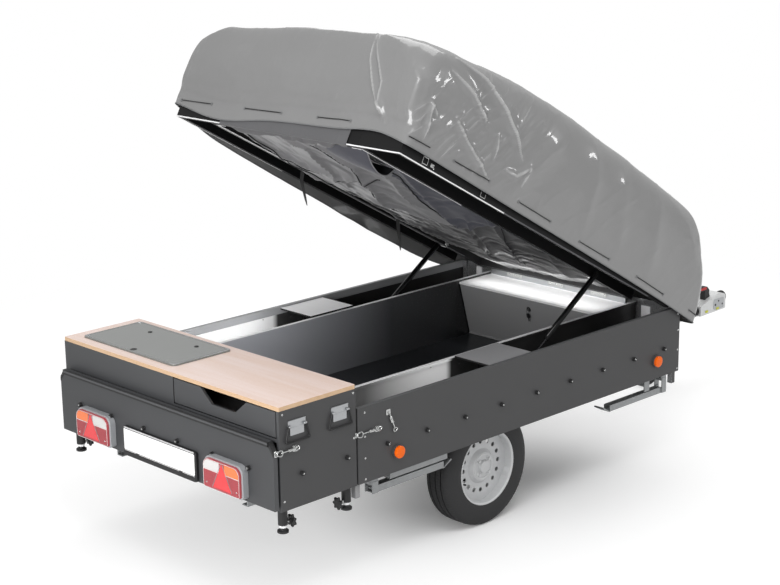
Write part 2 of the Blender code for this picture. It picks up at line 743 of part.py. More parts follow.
def sill(name, end, side, skin, parent):
    """Galvanised carriers under the panel's edge: the arm with the steady's ears, a strip behind
    the edge and, at the rear, the sill ahead of it; at the front, the clip over the stowed steady."""
    x1 = sill_span(end)[1]
    outer = HALF_WIDTH - SILL_INSET
    inner = outer - SILL_WIDTH
    low = CHASSIS_TOP - SILL_HEIGHT
    pivot = steady_pivot(end)
    arm0, arm1 = pivot.x - CROSS_WIDTH / 2, pivot.x + CROSS_WIDTH / 2
    shape = slab(arm0, arm1, RAIL_OUTER_Y + FIT, outer, low, CHASSIS_TOP)
    parts = []
    if end == "rear":
        start = x1 - SILL_BEHIND_WHEEL
        parts.append(slab(start, x1, inner, outer, low, CHASSIS_TOP))
        parts.append(slab(arm0, start + OVERRUN, inner - SILL_STRIP, inner, low, CHASSIS_TOP))
        parts.append(slab(start, start + SILL_STRIP, inner - SILL_STRIP, inner + OVERRUN, low, CHASSIS_TOP))
    else:
        clip0 = pivot.x - SILL_CLIP_REACH
        clip1 = clip0 + SILL_CLIP_WIDTH
        steady_top = pivot.z + STEADY_DEPTH / 2 - STEADY_WALL
        parts.append(slab(clip0, arm1, inner - SILL_STRIP, inner, low, CHASSIS_TOP))
        parts.append(slab(clip0, clip1, inner - SILL_STRIP / 2, outer, low, CHASSIS_TOP))
        parts.append(slab(clip0, clip1, outer - SILL_CLIP_SHEET, outer, steady_top + SILL_CLIP_GAP,
                          low + SILL_HEIGHT / 2))
    ear_y = STEADY_WIDTH / 2 + STEADY_EAR_GAP
    for flank in (-1, 1):
        edges = sorted((pivot.y + flank * ear_y, pivot.y + flank * (ear_y + STEADY_EAR)))
        parts.append(slab(pivot.x - STEADY_EAR_HALF, pivot.x + STEADY_EAR_HALF, *edges,
                          pivot.z - STEADY_EAR_HALF, low + SILL_HEIGHT / 2))
    reach = ear_y + STEADY_EAR
    parts.append(rod((pivot.x, pivot.y - reach, pivot.z), (pivot.x, pivot.y + reach, pivot.z),
                     STEADY_PIN_RADIUS))
    node(name, mirrored(join(shape, *parts), side), skin, parent)


def steady(name, end, side, skin, parent):
    """A U-channel leg, open upwards when stowed, with its foot plate at the free end."""
    pivot = steady_pivot(end)
    way = 1 if end == "rear" else -1
    half = STEADY_WIDTH / 2
    top = pivot.z + STEADY_DEPTH / 2 - STEADY_WALL
    low = pivot.z - STEADY_DEPTH / 2
    outline = ((-half, low), (half, low), (half, top), (half - STEADY_WALL, top),
               (half - STEADY_WALL, low + STEADY_WALL), (STEADY_WALL - half, low + STEADY_WALL),
               (STEADY_WALL - half, top), (-half, top))
    ends = sorted((pivot.x - way * STEADY_HEEL, pivot.x + way * STEADY_LENGTH))
    shape = along_x([(pivot.y + y, z) for y, z in outline], *ends)
    tip = pivot.x + way * STEADY_LENGTH
    slip = STEADY_FOOT_THICKNESS
    foot = ((tip - way * slip, low - slip / 2), (tip, low - slip / 2), (tip + way * STEADY_FOOT_LENGTH, top - slip),
            (tip + way * (STEADY_FOOT_LENGTH - slip), top))
    plate = along_y(foot, pivot.y - STEADY_FOOT_WIDTH / 2, pivot.y + half)
    bore = rod((pivot.x, pivot.y - STEADY_WIDTH, pivot.z), (pivot.x, pivot.y + STEADY_WIDTH, pivot.z),
               STEADY_PIN_RADIUS + STEADY_EAR_GAP)
    shape = cut(join(shape, plate), bore)
    pivot_here = Vector((pivot.x, side * pivot.y, pivot.z))
    node(name, mirrored(shape, side), skin, parent, pivot=pivot_here)


def axle(skin, parent):
    """The rubber-sprung axle tube, its trailing arms and the brake drums with their spigots."""
    top = RAIL_BOTTOM - FIT
    middle_z = top - AXLE_TUBE / 2
    tube_x = WHEEL_X + AXLE_AHEAD
    shape = slab(tube_x - AXLE_TUBE / 2, tube_x + AXLE_TUBE / 2, -AXLE_HALF, AXLE_HALF,
                 top - AXLE_TUBE, top)
    half = AXLE_ARM_WIDTH / 2
    disc_face = WHEEL_OUTER_Y - RIM_DISC_INSET - RIM_DISC_THICKNESS
    parts = []
    for side in (LEFT, RIGHT):
        arm_y = AXLE_HALF - AXLE_ARM_THICKNESS / 2
        drum_y = arm_y + AXLE_ARM_THICKNESS
        arm = along_y(((tube_x + half, middle_z - half), (tube_x + half, middle_z + half),
                       (tube_x - half, middle_z + half), (WHEEL_X - half, WHEEL_RADIUS + half),
                       (WHEEL_X - half, WHEEL_RADIUS - half), (WHEEL_X + half, WHEEL_RADIUS - half)),
                      arm_y, drum_y)
        drum = rod((WHEEL_X, drum_y - AXLE_ARM_THICKNESS / 2, WHEEL_RADIUS),
                   (WHEEL_X, drum_y + DRUM_LENGTH, WHEEL_RADIUS), DRUM_RADIUS, ROUND_SIDES)
        spigot = rod((WHEEL_X, drum_y, WHEEL_RADIUS),
                     (WHEEL_X, disc_face - SPIGOT_GAP, WHEEL_RADIUS), SPIGOT_RADIUS, ROUND_SIDES)
        parts += [mirrored(arm, side), mirrored(drum, side), mirrored(spigot, side)]
    node("axle", join(shape, *parts), skin, parent)


def drawbar(name, side, skin, parent):
    """One arm of the V, from the middle cross member to the nose tube."""
    x0 = CROSS_MID_X + CROSS_WIDTH + FIT
    y0 = DRAWBAR_REAR_Y
    x1 = NOSE_REAR_X + NOSE_WIDTH
    y1 = NOSE_WIDTH / 2 + FIT
    outline = ((x0, y0 - DRAWBAR_WIDTH), (NOSE_REAR_X - DRAWBAR_WIDTH, y1), (x1 + DRAWBAR_WIDTH, y1),
               (x0, y0))
    node(name, mirrored(along_z(outline, DRAWBAR_BOTTOM, DRAWBAR_TOP), side), skin, parent)


def coupling_head(skin, parent):
    """The nose tube of the drawbar, the pressed head over the ball, and the lift handle."""
    nose_half = NOSE_WIDTH / 2
    nose = slab(NOSE_REAR_X, COUPLING_REAR_X + OVERRUN, -nose_half, nose_half, DRAWBAR_BOTTOM, DRAWBAR_TOP)
    bore = slab(NOSE_REAR_X - OVERRUN, COUPLING_REAR_X, NOSE_WALL - nose_half, nose_half - NOSE_WALL,
                DRAWBAR_BOTTOM + NOSE_WALL, DRAWBAR_TOP - NOSE_WALL)
    side_view = ((COUPLING_REAR_X + FIT, DRAWBAR_BOTTOM), (COUPLING_TIP_X, COUPLING_BOTTOM),
                 (COUPLING_TIP_X, (COUPLING_BOTTOM + COUPLING_TOP) / 2),
                 (BALL_X + COUPLING_CORNER, COUPLING_TOP - COUPLING_CORNER / 2),
                 (BALL_X - COUPLING_CORNER, COUPLING_TOP), (HANDLE_PIVOT_X, DRAWBAR_TOP + COUPLING_CORNER),
                 (COUPLING_REAR_X + FIT, DRAWBAR_TOP))
    shape = along_y(side_view, -COUPLING_HALF, COUPLING_HALF)
    plan = rounded(COUPLING_REAR_X - OVERRUN, COUPLING_TIP_X, -COUPLING_HALF, COUPLING_HALF,
                   (FIT, COUPLING_HALF - FIT, COUPLING_HALF - FIT, FIT))
    shape = boolean(shape, [along_z(plan, DRAWBAR_BOTTOM - OVERRUN, COUPLING_TOP + OVERRUN)],
                    "INTERSECT")
    socket = rod((BALL_X, 0, COUPLING_BOTTOM - OVERRUN),
                 (BALL_X, 0, COUPLING_BOTTOM + BALL_SOCKET_DEPTH), BALL_SOCKET_RADIUS, ROUND_SIDES)
    shape = cut(shape, socket)
    handle = along_y(((HANDLE_PIVOT_X + HANDLE_THICKNESS, DRAWBAR_TOP),
                      (HANDLE_PIVOT_X + HANDLE_THICKNESS, HANDLE_TOP - HANDLE_THICKNESS),
                      (HANDLE_PIVOT_X, HANDLE_TOP), (HANDLE_REAR_X, HANDLE_TOP),
                      (HANDLE_REAR_X, HANDLE_TOP - HANDLE_THICKNESS),
                      (HANDLE_PIVOT_X - HANDLE_THICKNESS, HANDLE_TOP - HANDLE_THICKNESS),
                      (HANDLE_PIVOT_X - HANDLE_THICKNESS, DRAWBAR_TOP)),
                     -HANDLE_HALF, HANDLE_HALF)
    node("coupling_head", join(shape, handle, cut(nose, bore)), skin, parent)


# Jockey wheel

def jockey_tube(skin, parent):
    """The clamp on the nose, the outer tube and the crank on its top."""
    bore = JOCKEY_LEG_RADIUS + JOCKEY_AXLE_GAP
    place = (JOCKEY_X, JOCKEY_Y)
    shape = rod((*place, JOCKEY_TUBE_BOTTOM), (*place, JOCKEY_TUBE_TOP), JOCKEY_TUBE_RADIUS, ROUND_SIDES)
    half = CLAMP_LENGTH / 2
    clamp_z = (DRAWBAR_BOTTOM + DRAWBAR_TOP) / 2
    clamp = slab(JOCKEY_X - half, JOCKEY_X + half, NOSE_WIDTH / 2 + FIT, JOCKEY_Y,
                 clamp_z - CLAMP_HEIGHT / 2, clamp_z + CLAMP_HEIGHT / 2)
    shape = join(shape, clamp)
    shape = cut(shape, rod((*place, JOCKEY_TUBE_BOTTOM - OVERRUN),
                           (*place, JOCKEY_TUBE_TOP - CRANK_RADIUS), bore, ROUND_SIDES))
    rise = JOCKEY_TUBE_TOP + CRANK_RISE
    crank = [rod((*place, JOCKEY_TUBE_TOP - CRANK_RADIUS / 2), (*place, rise + CRANK_RADIUS), CRANK_RADIUS),
             slab(JOCKEY_X - CRANK_RADIUS, JOCKEY_X + CRANK_RADIUS, JOCKEY_Y, JOCKEY_Y + CRANK_REACH,
                  rise, rise + CRANK_RADIUS),
             rod((JOCKEY_X, JOCKEY_Y + CRANK_REACH - CRANK_RADIUS, rise + CRANK_RADIUS / 2),
                 (JOCKEY_X, JOCKEY_Y + CRANK_REACH - CRANK_RADIUS, rise + CRANK_GRIP), CRANK_RADIUS)]
    node("jockey_tube", join(shape, *crank), skin, parent, smooth=True)


def jockey_leg(skin, parent):
    place = (JOCKEY_X, JOCKEY_Y)
    low = FORK_CROWN_Z + FORK_CROWN_THICKNESS + FIT
    shape = rod((*place, low), (*place, JOCKEY_LEG_TOP), JOCKEY_LEG_RADIUS, ROUND_SIDES)
    node("jockey_leg", shape, skin, parent, pivot=(*place, low), smooth=True)


def jockey_axle_point():
    return Vector((JOCKEY_X - JOCKEY_TRAIL, JOCKEY_Y, JOCKEY_WHEEL_RADIUS))


def jockey_fork(skin, parent):
    wheel = jockey_axle_point()
    inner = JOCKEY_WHEEL_WIDTH / 2 + FORK_GAP
    outer = inner + FORK_THICKNESS
    half = FORK_ARM_WIDTH / 2
    shape = slab(wheel.x - half, JOCKEY_X + half, JOCKEY_Y - outer, JOCKEY_Y + outer,
                 FORK_CROWN_Z, FORK_CROWN_Z + FORK_CROWN_THICKNESS)
    arm = ((wheel.x - half / 2, wheel.z - half), (wheel.x + half / 2, wheel.z - half),
           (JOCKEY_X + half, FORK_CROWN_Z + FORK_CROWN_THICKNESS / 2),
           (wheel.x - half, FORK_CROWN_Z + FORK_CROWN_THICKNESS / 2))
    parts = [along_y(arm, JOCKEY_Y - outer, JOCKEY_Y - inner), along_y(arm, JOCKEY_Y + inner, JOCKEY_Y + outer),
             rod((wheel.x, JOCKEY_Y - outer, wheel.z), (wheel.x, JOCKEY_Y + outer, wheel.z),
                 JOCKEY_AXLE_RADIUS)]
    node("jockey_fork", join(shape, *parts), skin, parent, pivot=(JOCKEY_X, JOCKEY_Y, FORK_CROWN_Z))


def jockey_wheel(skin, parent):
    wheel = jockey_axle_point()
    half = JOCKEY_WHEEL_WIDTH / 2
    bore = JOCKEY_AXLE_RADIUS + JOCKEY_AXLE_GAP
    dish = half / 2
    profile = ((bore, JOCKEY_Y - half), (JOCKEY_HUB_RADIUS / 2, JOCKEY_Y - half),
               (JOCKEY_HUB_RADIUS, JOCKEY_Y - dish), (JOCKEY_WHEEL_RADIUS - dish, JOCKEY_Y - half),
               (JOCKEY_WHEEL_RADIUS, JOCKEY_Y - dish), (JOCKEY_WHEEL_RADIUS, JOCKEY_Y + dish),
               (JOCKEY_WHEEL_RADIUS - dish, JOCKEY_Y + half), (JOCKEY_HUB_RADIUS, JOCKEY_Y + dish),
               (JOCKEY_HUB_RADIUS / 2, JOCKEY_Y + half), (bore, JOCKEY_Y + half))
    node("jockey_wheel", turned(profile, wheel, LEFT, 32), skin, parent, pivot=wheel, smooth=True)


# Road wheels

def tyre(name, side, skin, parent):
    outer, inner = WHEEL_OUTER_Y, WHEEL_INNER_Y
    bead_out, bead_in = outer - TYRE_BEAD_INSET, inner + TYRE_BEAD_INSET
    wall = (RIM_FLANGE_RADIUS + WHEEL_RADIUS) / 2
    profile = ((RIM_RADIUS + FIT, bead_in), (RIM_FLANGE_RADIUS, inner + TYRE_SIDE_BULGE), (wall, inner),
               (WHEEL_RADIUS - TYRE_SHOULDER / 2, inner + TYRE_SIDE_BULGE),
               (WHEEL_RADIUS, inner + TYRE_SHOULDER), (WHEEL_RADIUS, outer - TYRE_SHOULDER),
               (WHEEL_RADIUS - TYRE_SHOULDER / 2, outer - TYRE_SIDE_BULGE), (wall, outer),
               (RIM_FLANGE_RADIUS, outer - TYRE_SIDE_BULGE), (RIM_RADIUS + FIT, bead_out))
    centre = (WHEEL_X, 0, WHEEL_RADIUS)
    node(name, turned(profile, centre, side, 48), skin, parent, pivot=centre, smooth=True)


def rim(name, side, skin, parent):
    """A steel wheel: the dished disc with its ring of round holes, inside the rim's barrel."""
    outer, inner = WHEEL_OUTER_Y - TYRE_BEAD_INSET, WHEEL_INNER_Y + TYRE_BEAD_INSET
    disc = WHEEL_OUTER_Y - RIM_DISC_INSET
    back = disc - RIM_DISC_THICKNESS
    barrel = RIM_RADIUS - RIM_THICKNESS
    core = RIM_HOLE_RADIUS / 4
    step = disc + RIM_BOSS_STEP
    profile = ((RIM_RADIUS, inner), (RIM_RADIUS, outer), (barrel, outer), (barrel, disc),
               (RIM_BOSS_RADIUS + RIM_BOSS_STEP, disc), (RIM_BOSS_RADIUS, step), (RIM_CAP_RADIUS, step),
               (RIM_CAP_RADIUS, step + RIM_CAP_HEIGHT - RIM_BOSS_STEP / 2),
               (core, step + RIM_CAP_HEIGHT - RIM_BOSS_STEP / 2), (core, back), (barrel, back), (barrel, inner))
    centre = (WHEEL_X, 0, WHEEL_RADIUS)
    shape = turned(profile, centre, LEFT, 48)
    holes = []
    for index in range(RIM_HOLE_COUNT):
        angle = 2 * math.pi * index / RIM_HOLE_COUNT
        x = WHEEL_X + RIM_HOLE_CIRCLE * math.cos(angle)
        z = WHEEL_RADIUS + RIM_HOLE_CIRCLE * math.sin(angle)
        holes.append(rod((x, back - OVERRUN / 2, z), (x, disc + OVERRUN / 2, z), RIM_HOLE_RADIUS, 10))
    node(name, mirrored(cut(shape, gathered(holes)), side), skin, parent, pivot=centre, smooth=True)


# Kitchen

def leg_place(end):
    x = LEG_INSET_X if end == "rear" else KITCHEN_DEPTH - LEG_INSET_X
    return x, HALF_WIDTH - LEG_INSET_Y


def kitchen_carcass(skin, parent):
    """Sides, floor, front wall, shelf, divider, hob fascia and the four leg sleeves."""
    inner = HALF_WIDTH - KITCHEN_WALL
    front = KITCHEN_DEPTH - KITCHEN_WALL
    top = WORKTOP_BOTTOM - FIT
    shape = slab(0, KITCHEN_DEPTH, -HALF_WIDTH, HALF_WIDTH, KITCHEN_BOTTOM, top)
    store = slab(-OVERRUN, front, -inner, inner, KITCHEN_BOTTOM + KITCHEN_WALL, SHELF_TOP - SHELF_THICKNESS)
    drawer_bay = slab(-OVERRUN, front, -inner, DIVIDER_Y - DIVIDER_THICKNESS / 2, SHELF_TOP, top + OVERRUN)
    hob_bay = slab(FASCIA_THICKNESS, front, DIVIDER_Y + DIVIDER_THICKNESS / 2, inner, SHELF_TOP, top + OVERRUN)
    shape = cut(shape, store, drawer_bay, hob_bay)
    joins, bores = [], []
    for side in (LEFT, RIGHT):
        for end in ("rear", "front"):
            x, y = leg_place(end)
            y *= side
            joins.append(rod((x, y, KITCHEN_BOTTOM - LEG_SLEEVE_BELOW), (x, y, LEG_SLEEVE_TOP),
                             LEG_SLEEVE_RADIUS))
            bores.append(rod((x, y, KITCHEN_BOTTOM - LEG_SLEEVE_BELOW - OVERRUN),
                             (x, y, LEG_SLEEVE_TOP + OVERRUN), LEG_TUBE_RADIUS + LEG_RADIAL_GAP))
    for y in (-HALF_WIDTH + RUNNER_INSET, DIVIDER_Y - RUNNER_INSET):
        joins.append(slab(RUNNER_INSET, front, y - RUNNER_WIDTH / 2, y + RUNNER_WIDTH / 2,
                          SHELF_TOP - SHELF_THICKNESS / 2, SHELF_TOP + RUNNER_HEIGHT))
    for centre in (-TAILGATE_BARREL_Y, TAILGATE_BARREL_Y):
        joins += tailgate_barrel(centre - TAILGATE_BARREL_LENGTH, centre - FIT, 0)
    shape = cut(join(shape, *joins), *bores)
    node("kitchen_carcass", shape, skin, parent)


def tailgate_barrel(y0, y1, leaf_x):
    """A hinge barrel on the tailgate's axis with the leaf that carries it."""
    axis = TAILGATE_AXIS
    barrel = rod((axis.x, y0, axis.z), (axis.x, y1, axis.z), TAILGATE_BARREL_RADIUS)
    reach = TAILGATE_BARREL_RADIUS / 2
    xs = sorted((axis.x, leaf_x + (reach if leaf_x == 0 else -reach)))
    top = axis.z + reach if leaf_x == 0 else axis.z + TAILGATE_LEAF_HEIGHT
    return [barrel, slab(*xs, y0, y1, axis.z - reach if leaf_x == 0 else axis.z, top)]


def worktop(skin, parent):
    """The top board with the cut-out for the hob."""
    r = WORKTOP_CORNER
    shape = along_z(rounded(0, KITCHEN_DEPTH, -HALF_WIDTH, HALF_WIDTH, (r, r, r, r), 3),
                    WORKTOP_BOTTOM, WORKTOP_TOP)
    hole = hob_outline(HOB_RIM - HOB_HOLE_CLEARANCE, HOB_BOWL_CORNER)
    rebate = hob_outline(-HOB_HOLE_CLEARANCE)
    low = WORKTOP_TOP - HOB_RIM_THICKNESS
    shape = cut(shape, along_z(rebate, low, WORKTOP_TOP + OVERRUN),
                along_z(hole, WORKTOP_BOTTOM - OVERRUN, WORKTOP_TOP + OVERRUN))
    node("worktop", shape, skin, parent)


def hob_outline(inset, radius=HOB_CORNER):
    return rounded(HOB_REAR_X + inset, HOB_FRONT_X - inset, HOB_RIGHT_Y + inset, HOB_LEFT_Y - inset,
                   (radius, radius, radius, radius))


def hob_tray(skin, parent):
    """The pressed tray hung in the worktop, with two burners."""
    rim_low = WORKTOP_TOP + FIT - HOB_RIM_THICKNESS
    rim_top = rim_low + HOB_RIM_THICKNESS
    bottom = WORKTOP_TOP - HOB_BOWL_DEPTH
    shape = along_z(hob_outline(HOB_RIM, HOB_BOWL_CORNER), bottom, rim_low + HOB_RIM_THICKNESS / 2)
    shape = join(shape, along_z(hob_outline(0), rim_low, rim_top))
    inside = hob_outline(HOB_RIM + HOB_SHEET, HOB_BOWL_CORNER)
    shape = cut(shape, along_z(inside, bottom + HOB_SHEET, rim_top + OVERRUN))
    middle_x = (HOB_REAR_X + HOB_FRONT_X) / 2
    middle_y = (HOB_RIGHT_Y + HOB_LEFT_Y) / 2
    burners = []
    for way in (-1, 1):
        y = middle_y + way * BURNER_SPREAD_SHARE * (HOB_LEFT_Y - HOB_RIGHT_Y)
        low = bottom + HOB_SHEET / 2
        burners.append(rod((middle_x, y, low), (middle_x, y, low + BURNER_HEIGHT), BURNER_RADIUS,
                           ROUND_SIDES))
        burners.append(rod((middle_x, y, low + BURNER_HEIGHT / 2),
                           (middle_x, y, low + BURNER_HEIGHT + BURNER_CAP_HEIGHT), BURNER_CAP_RADIUS,
                           ROUND_SIDES))
    node("hob_tray", join(shape, *burners), skin, parent)


def hob_lid(skin, parent):
    low = WORKTOP_TOP + FIT + HOB_GLASS_GAP
    shape = along_z(hob_outline(0), low, low + HOB_GLASS_THICKNESS)
    node("hob_lid", shape, skin, parent, pivot=(HOB_FRONT_X, 0, low))


def drawer(skin, parent):
    """A front with a finger cut-out at its top edge, and the box behind it."""
    z0 = SHELF_TOP + DRAWER_FRONT_BOTTOM_GAP
    z1 = WORKTOP_BOTTOM - DRAWER_FRONT_TOP_GAP
    y0 = -HALF_WIDTH + KITCHEN_WALL + RUNNING
    y1 = DIVIDER_Y - DIVIDER_THICKNESS / 2 - RUNNING
    front = slab(0, DRAWER_FRONT_THICKNESS, y0, y1, z0, z1)
    middle = (y0 + y1) / 2
    grip = along_x(((middle - GRIP_TOP_HALF, z1), (middle - GRIP_BOTTOM_HALF, z1 - GRIP_DEPTH),
                    (middle + GRIP_BOTTOM_HALF, z1 - GRIP_DEPTH), (middle + GRIP_TOP_HALF, z1),
                    (middle + GRIP_TOP_HALF, z1 + OVERRUN), (middle - GRIP_TOP_HALF, z1 + OVERRUN)),
                   -OVERRUN, DRAWER_FRONT_THICKNESS + OVERRUN)
    low = SHELF_TOP + RUNNER_HEIGHT + FIT
    box_y0 = -(HALF_WIDTH - LEG_INSET_Y - LEG_SLEEVE_RADIUS - DRAWER_SIDE_CLEARANCE)
    box_y1 = y1 - DRAWER_SIDE_CLEARANCE
    x1 = DRAWER_DEPTH
    grip_low = z1 - GRIP_DEPTH
    box = slab(DRAWER_FRONT_THICKNESS / 2, x1, box_y0, box_y1, low, low + DRAWER_HEIGHT)
    hollow = slab(DRAWER_FRONT_THICKNESS, x1 - DRAWER_WALL, box_y0 + DRAWER_WALL, box_y1 - DRAWER_WALL,
                  low + DRAWER_WALL, z1 + OVERRUN)
    lower = slab(0, DRAWER_FRONT_THICKNESS + OVERRUN, box_y0 + DRAWER_WALL, box_y1 - DRAWER_WALL,
                 max(grip_low, low), z1 + OVERRUN)
    shape = join(cut(front, grip), cut(box, hollow, lower))
    node("drawer", shape, skin, parent, pivot=(0, (y0 + y1) / 2, low))


def kitchen_leg(name, end, side, skin, parent):
    """The inner tube with its ring and round foot."""
    x, y = leg_place(end)
    y *= side
    foot_top = LEG_FOOT_BOTTOM + LEG_FOOT_HEIGHT
    ring_top = KITCHEN_BOTTOM - LEG_SLEEVE_BELOW - FIT
    shape = rod((x, y, LEG_FOOT_BOTTOM + LEG_FOOT_HEIGHT / 2), (x, y, LEG_TUBE_TOP), LEG_TUBE_RADIUS)
    foot = rod((x, y, LEG_FOOT_BOTTOM), (x, y, foot_top), LEG_FOOT_RADIUS, ROUND_SIDES)
    ring = rod((x, y, ring_top - LEG_RING_HEIGHT), (x, y, ring_top), LEG_RING_RADIUS)
    node(name, join(shape, foot, ring), skin, parent, pivot=(x, y, LEG_FOOT_BOTTOM), smooth=True)


# Tailgate

def tailgate(skin, parent):
    """The drop-down board with its double edge lip, chamfered top corners and hinge barrels."""
    z1 = TAILGATE_TOP
    outline = ((-HALF_WIDTH, TAILGATE_BOTTOM), (HALF_WIDTH, TAILGATE_BOTTOM),
               (HALF_WIDTH, z1 - TAILGATE_CHAMFER_Z), (HALF_WIDTH - TAILGATE_CHAMFER_Y, z1),
               (TAILGATE_CHAMFER_Y - HALF_WIDTH, z1), (-HALF_WIDTH, z1 - TAILGATE_CHAMFER_Z))
    shape = along_x(outline, TAILGATE_FACE, -TAILGATE_GAP)
    lip_half = HALF_WIDTH - TAILGATE_CHAMFER_Y
    lip = slab(TAILGATE_FACE - TAILGATE_LIP, TAILGATE_FACE + TAILGATE_LIP, -lip_half, lip_half,
               z1 - TAILGATE_LIP_HEIGHT, z1)
    joins = [lip]
    for centre in (-TAILGATE_BARREL_Y, TAILGATE_BARREL_Y):
        joins += tailgate_barrel(centre, centre + TAILGATE_BARREL_LENGTH, -TAILGATE_GAP)
    node("tailgate", join(shape, *joins), skin, parent, pivot=TAILGATE_AXIS)


def rear_lamp(name, side, skin, parent):
    """A combined lamp: a rim with big top corners and the lens block standing on it."""
    face = TAILGATE_FACE - FIT

    def outline(inset):
        small = LAMP_SMALL_RADIUS - inset
        big = LAMP_BIG_RADIUS - inset
        return rounded(LAMP_INNER_Y + inset, LAMP_OUTER_Y - inset, LAMP_BOTTOM + inset, LAMP_TOP - inset,
                       (small, small, big, big))

    shape = along_x(outline(0), face - LAMP_DEPTH + LAMP_RIM_STEP, face)
    lens = along_x(outline(LAMP_RIM_INSET), face - LAMP_DEPTH, face - LAMP_RIM_STEP)
    node(name, mirrored(join(shape, lens), side), skin, parent, pivot=TAILGATE_AXIS)


def number_plate(skin, parent):
    """The holder with a blank plate's recess in its face."""
    face = TAILGATE_FACE - FIT
    half = PLATE_WIDTH / 2
    z0 = PLATE_CENTRE_Z - PLATE_HEIGHT / 2
    z1 = PLATE_CENTRE_Z + PLATE_HEIGHT / 2
    shape = slab(face - PLATE_DEPTH, face, -half, half, z0, z1)
    recess = slab(face - PLATE_DEPTH - OVERRUN, face - PLATE_DEPTH + PLATE_RECESS, PLATE_RIM - half,
                  half - PLATE_RIM, z0 + PLATE_RIM * 2, z1 - PLATE_RIM)
    node("number_plate", cut(shape, recess), skin, parent, pivot=TAILGATE_AXIS)


# Lid, in its own frame: x is -u and z is v, shut; the hinge empty tilts it open

def lid_side(name, side, skin, hinge):
    """An upside-down channel over a side locker, closed at its rear end."""
    inner = LID_SIDE_INNER + LID_RAIL_INNER_WIDTH
    outer = LID_HALF - LID_RAIL_OUTER_WIDTH
    board = LID_TOP - LID_BOARD
    outline = ((LID_SIDE_INNER, LID_BOTTOM), (inner, LID_BOTTOM), (inner, board), (outer, board),
               (outer, LID_BOTTOM), (LID_HALF, LID_BOTTOM), (LID_HALF, LID_TOP), (LID_SIDE_INNER, LID_TOP))
    shape = along_x(outline, -LID_LENGTH, 0)
    end = slab(-LID_LENGTH, -LID_LENGTH + LID_RAIL_INNER_WIDTH, LID_SIDE_INNER + FIT, LID_HALF - FIT,
               LID_BOTTOM, LID_TOP - FIT)
    pin = rod((-STRUT_TOP_U, LID_SIDE_INNER + LID_RAIL_INNER_WIDTH / 2, STRUT_TOP_V),
              (-STRUT_TOP_U, STRUT_Y + STRUT_EYE_WIDTH / 2 + STRUT_SHOULDER / 2, STRUT_TOP_V),
              STRUT_PIN_RADIUS)
    node(name, mirrored(join(shape, end, pin), side), skin, hinge)


def lid_beams(skin, hinge):
    half = LID_SIDE_INNER - FIT
    node("lid_rear_beam", slab(-LID_LENGTH, -LID_LENGTH + LID_BEAM_WIDTH, -half, half, LID_BOTTOM, LID_TOP),
         skin, hinge)
    front = slab(-LID_FRONT_GAP - LID_BEAM_WIDTH, -LID_FRONT_GAP, -half, half, LID_BOTTOM, LID_TOP)
    parts = []
    for centre in (-HINGE_SPREAD, HINGE_SPREAD):
        parts.append(rod((0, centre, 0), (0, centre + HINGE_BARREL_LENGTH, 0), HINGE_BARREL_RADIUS))
        parts.append(slab(-LID_FRONT_GAP - LID_BEAM_WIDTH / 2, 0, centre, centre + HINGE_BARREL_LENGTH,
                          -HINGE_ARM_HEIGHT / 2, HINGE_ARM_HEIGHT / 2))
    node("lid_front_beam", join(front, *parts), skin, hinge)


def hinge_rail(skin, parent):
    """The aluminium strip standing on the front box, with the body's half of the barrels."""
    low = BOX_TOP_Z + FIT
    x0 = HINGE_X + HINGE_BARREL_RADIUS / 2
    shape = slab(x0, x0 + HINGE_LEAF, -HINGE_RAIL_HALF, HINGE_RAIL_HALF, low,
                 HINGE_Z - HINGE_BARREL_RADIUS * 2)
    parts = [slab(x0, x0 + HINGE_FLANGE, -HINGE_RAIL_HALF, HINGE_RAIL_HALF, low, low + HINGE_LEAF)]
    for centre in (-HINGE_SPREAD, HINGE_SPREAD):
        y0 = centre - HINGE_BARREL_LENGTH
        y1 = centre - STEADY_EAR_GAP
        parts.append(rod((HINGE_X, y0, HINGE_Z), (HINGE_X, y1, HINGE_Z), HINGE_BARREL_RADIUS))
        parts.append(slab(x0, x0 + HINGE_LEAF, y0, y1, HINGE_Z - HINGE_BARREL_RADIUS * 3, HINGE_Z))
    node("hinge_rail", join(shape, *parts), skin, parent)


def cover_stations():
    """The cover's stations in metres: u of hem and shoulder, v of hem, shoulder and crest."""
    return [(hem_u * LID_LENGTH, shoulder_u * LID_LENGTH, hem * COVER_HEIGHT, shoulder * COVER_HEIGHT,
             crest * COVER_HEIGHT) for hem_u, shoulder_u, hem, shoulder, crest in COVER_STATION_SHARES]


def cover_crest(u):
    """Height of the cover's crest line at u, between its stations."""
    stations = [(station[1], station[4]) for station in cover_stations()]
    for (far, high), (near, low) in zip(stations, stations[1:]):
        if near <= u <= far:
            return low + (high - low) * (u - near) / (far - near)
    return stations[0][1]


def tent_pack(skin, hinge):
    """The folded tent: it fills the cover between the side beams and sags into the well."""
    half = LID_SIDE_INNER - TENT_SIDE_GAP
    rise = COVER_CROWN * (1 - half / COVER_CREST_HALF) - COVER_SHEET - TENT_TOP_GAP
    inner = [station[1] for station in cover_stations() if TENT_FRONT_U < station[1] < TENT_REAR_U]
    top = [(-u, cover_crest(u) + rise) for u in [TENT_REAR_U] + inner + [TENT_FRONT_U]]
    body = along_y(top + [(-TENT_FRONT_U, LID_BOTTOM), (-TENT_REAR_U, LID_BOTTOM)], -half, half)
    mid = (TENT_FRONT_U + TENT_REAR_U) / 2
    low = TENT_SAG_BOTTOM
    under = ((-TENT_FRONT_U, LID_BOTTOM), (-(TENT_FRONT_U + mid) / 2, low), (-mid, low - TENT_MID_SAG),
             (-(mid + TENT_REAR_U) / 2, low), (-TENT_REAR_U, LID_BOTTOM), (-mid, 0))
    sag = along_y(under, -TENT_SAG_HALF, TENT_SAG_HALF)
    node("tent_pack", join(body, sag), skin, hinge)


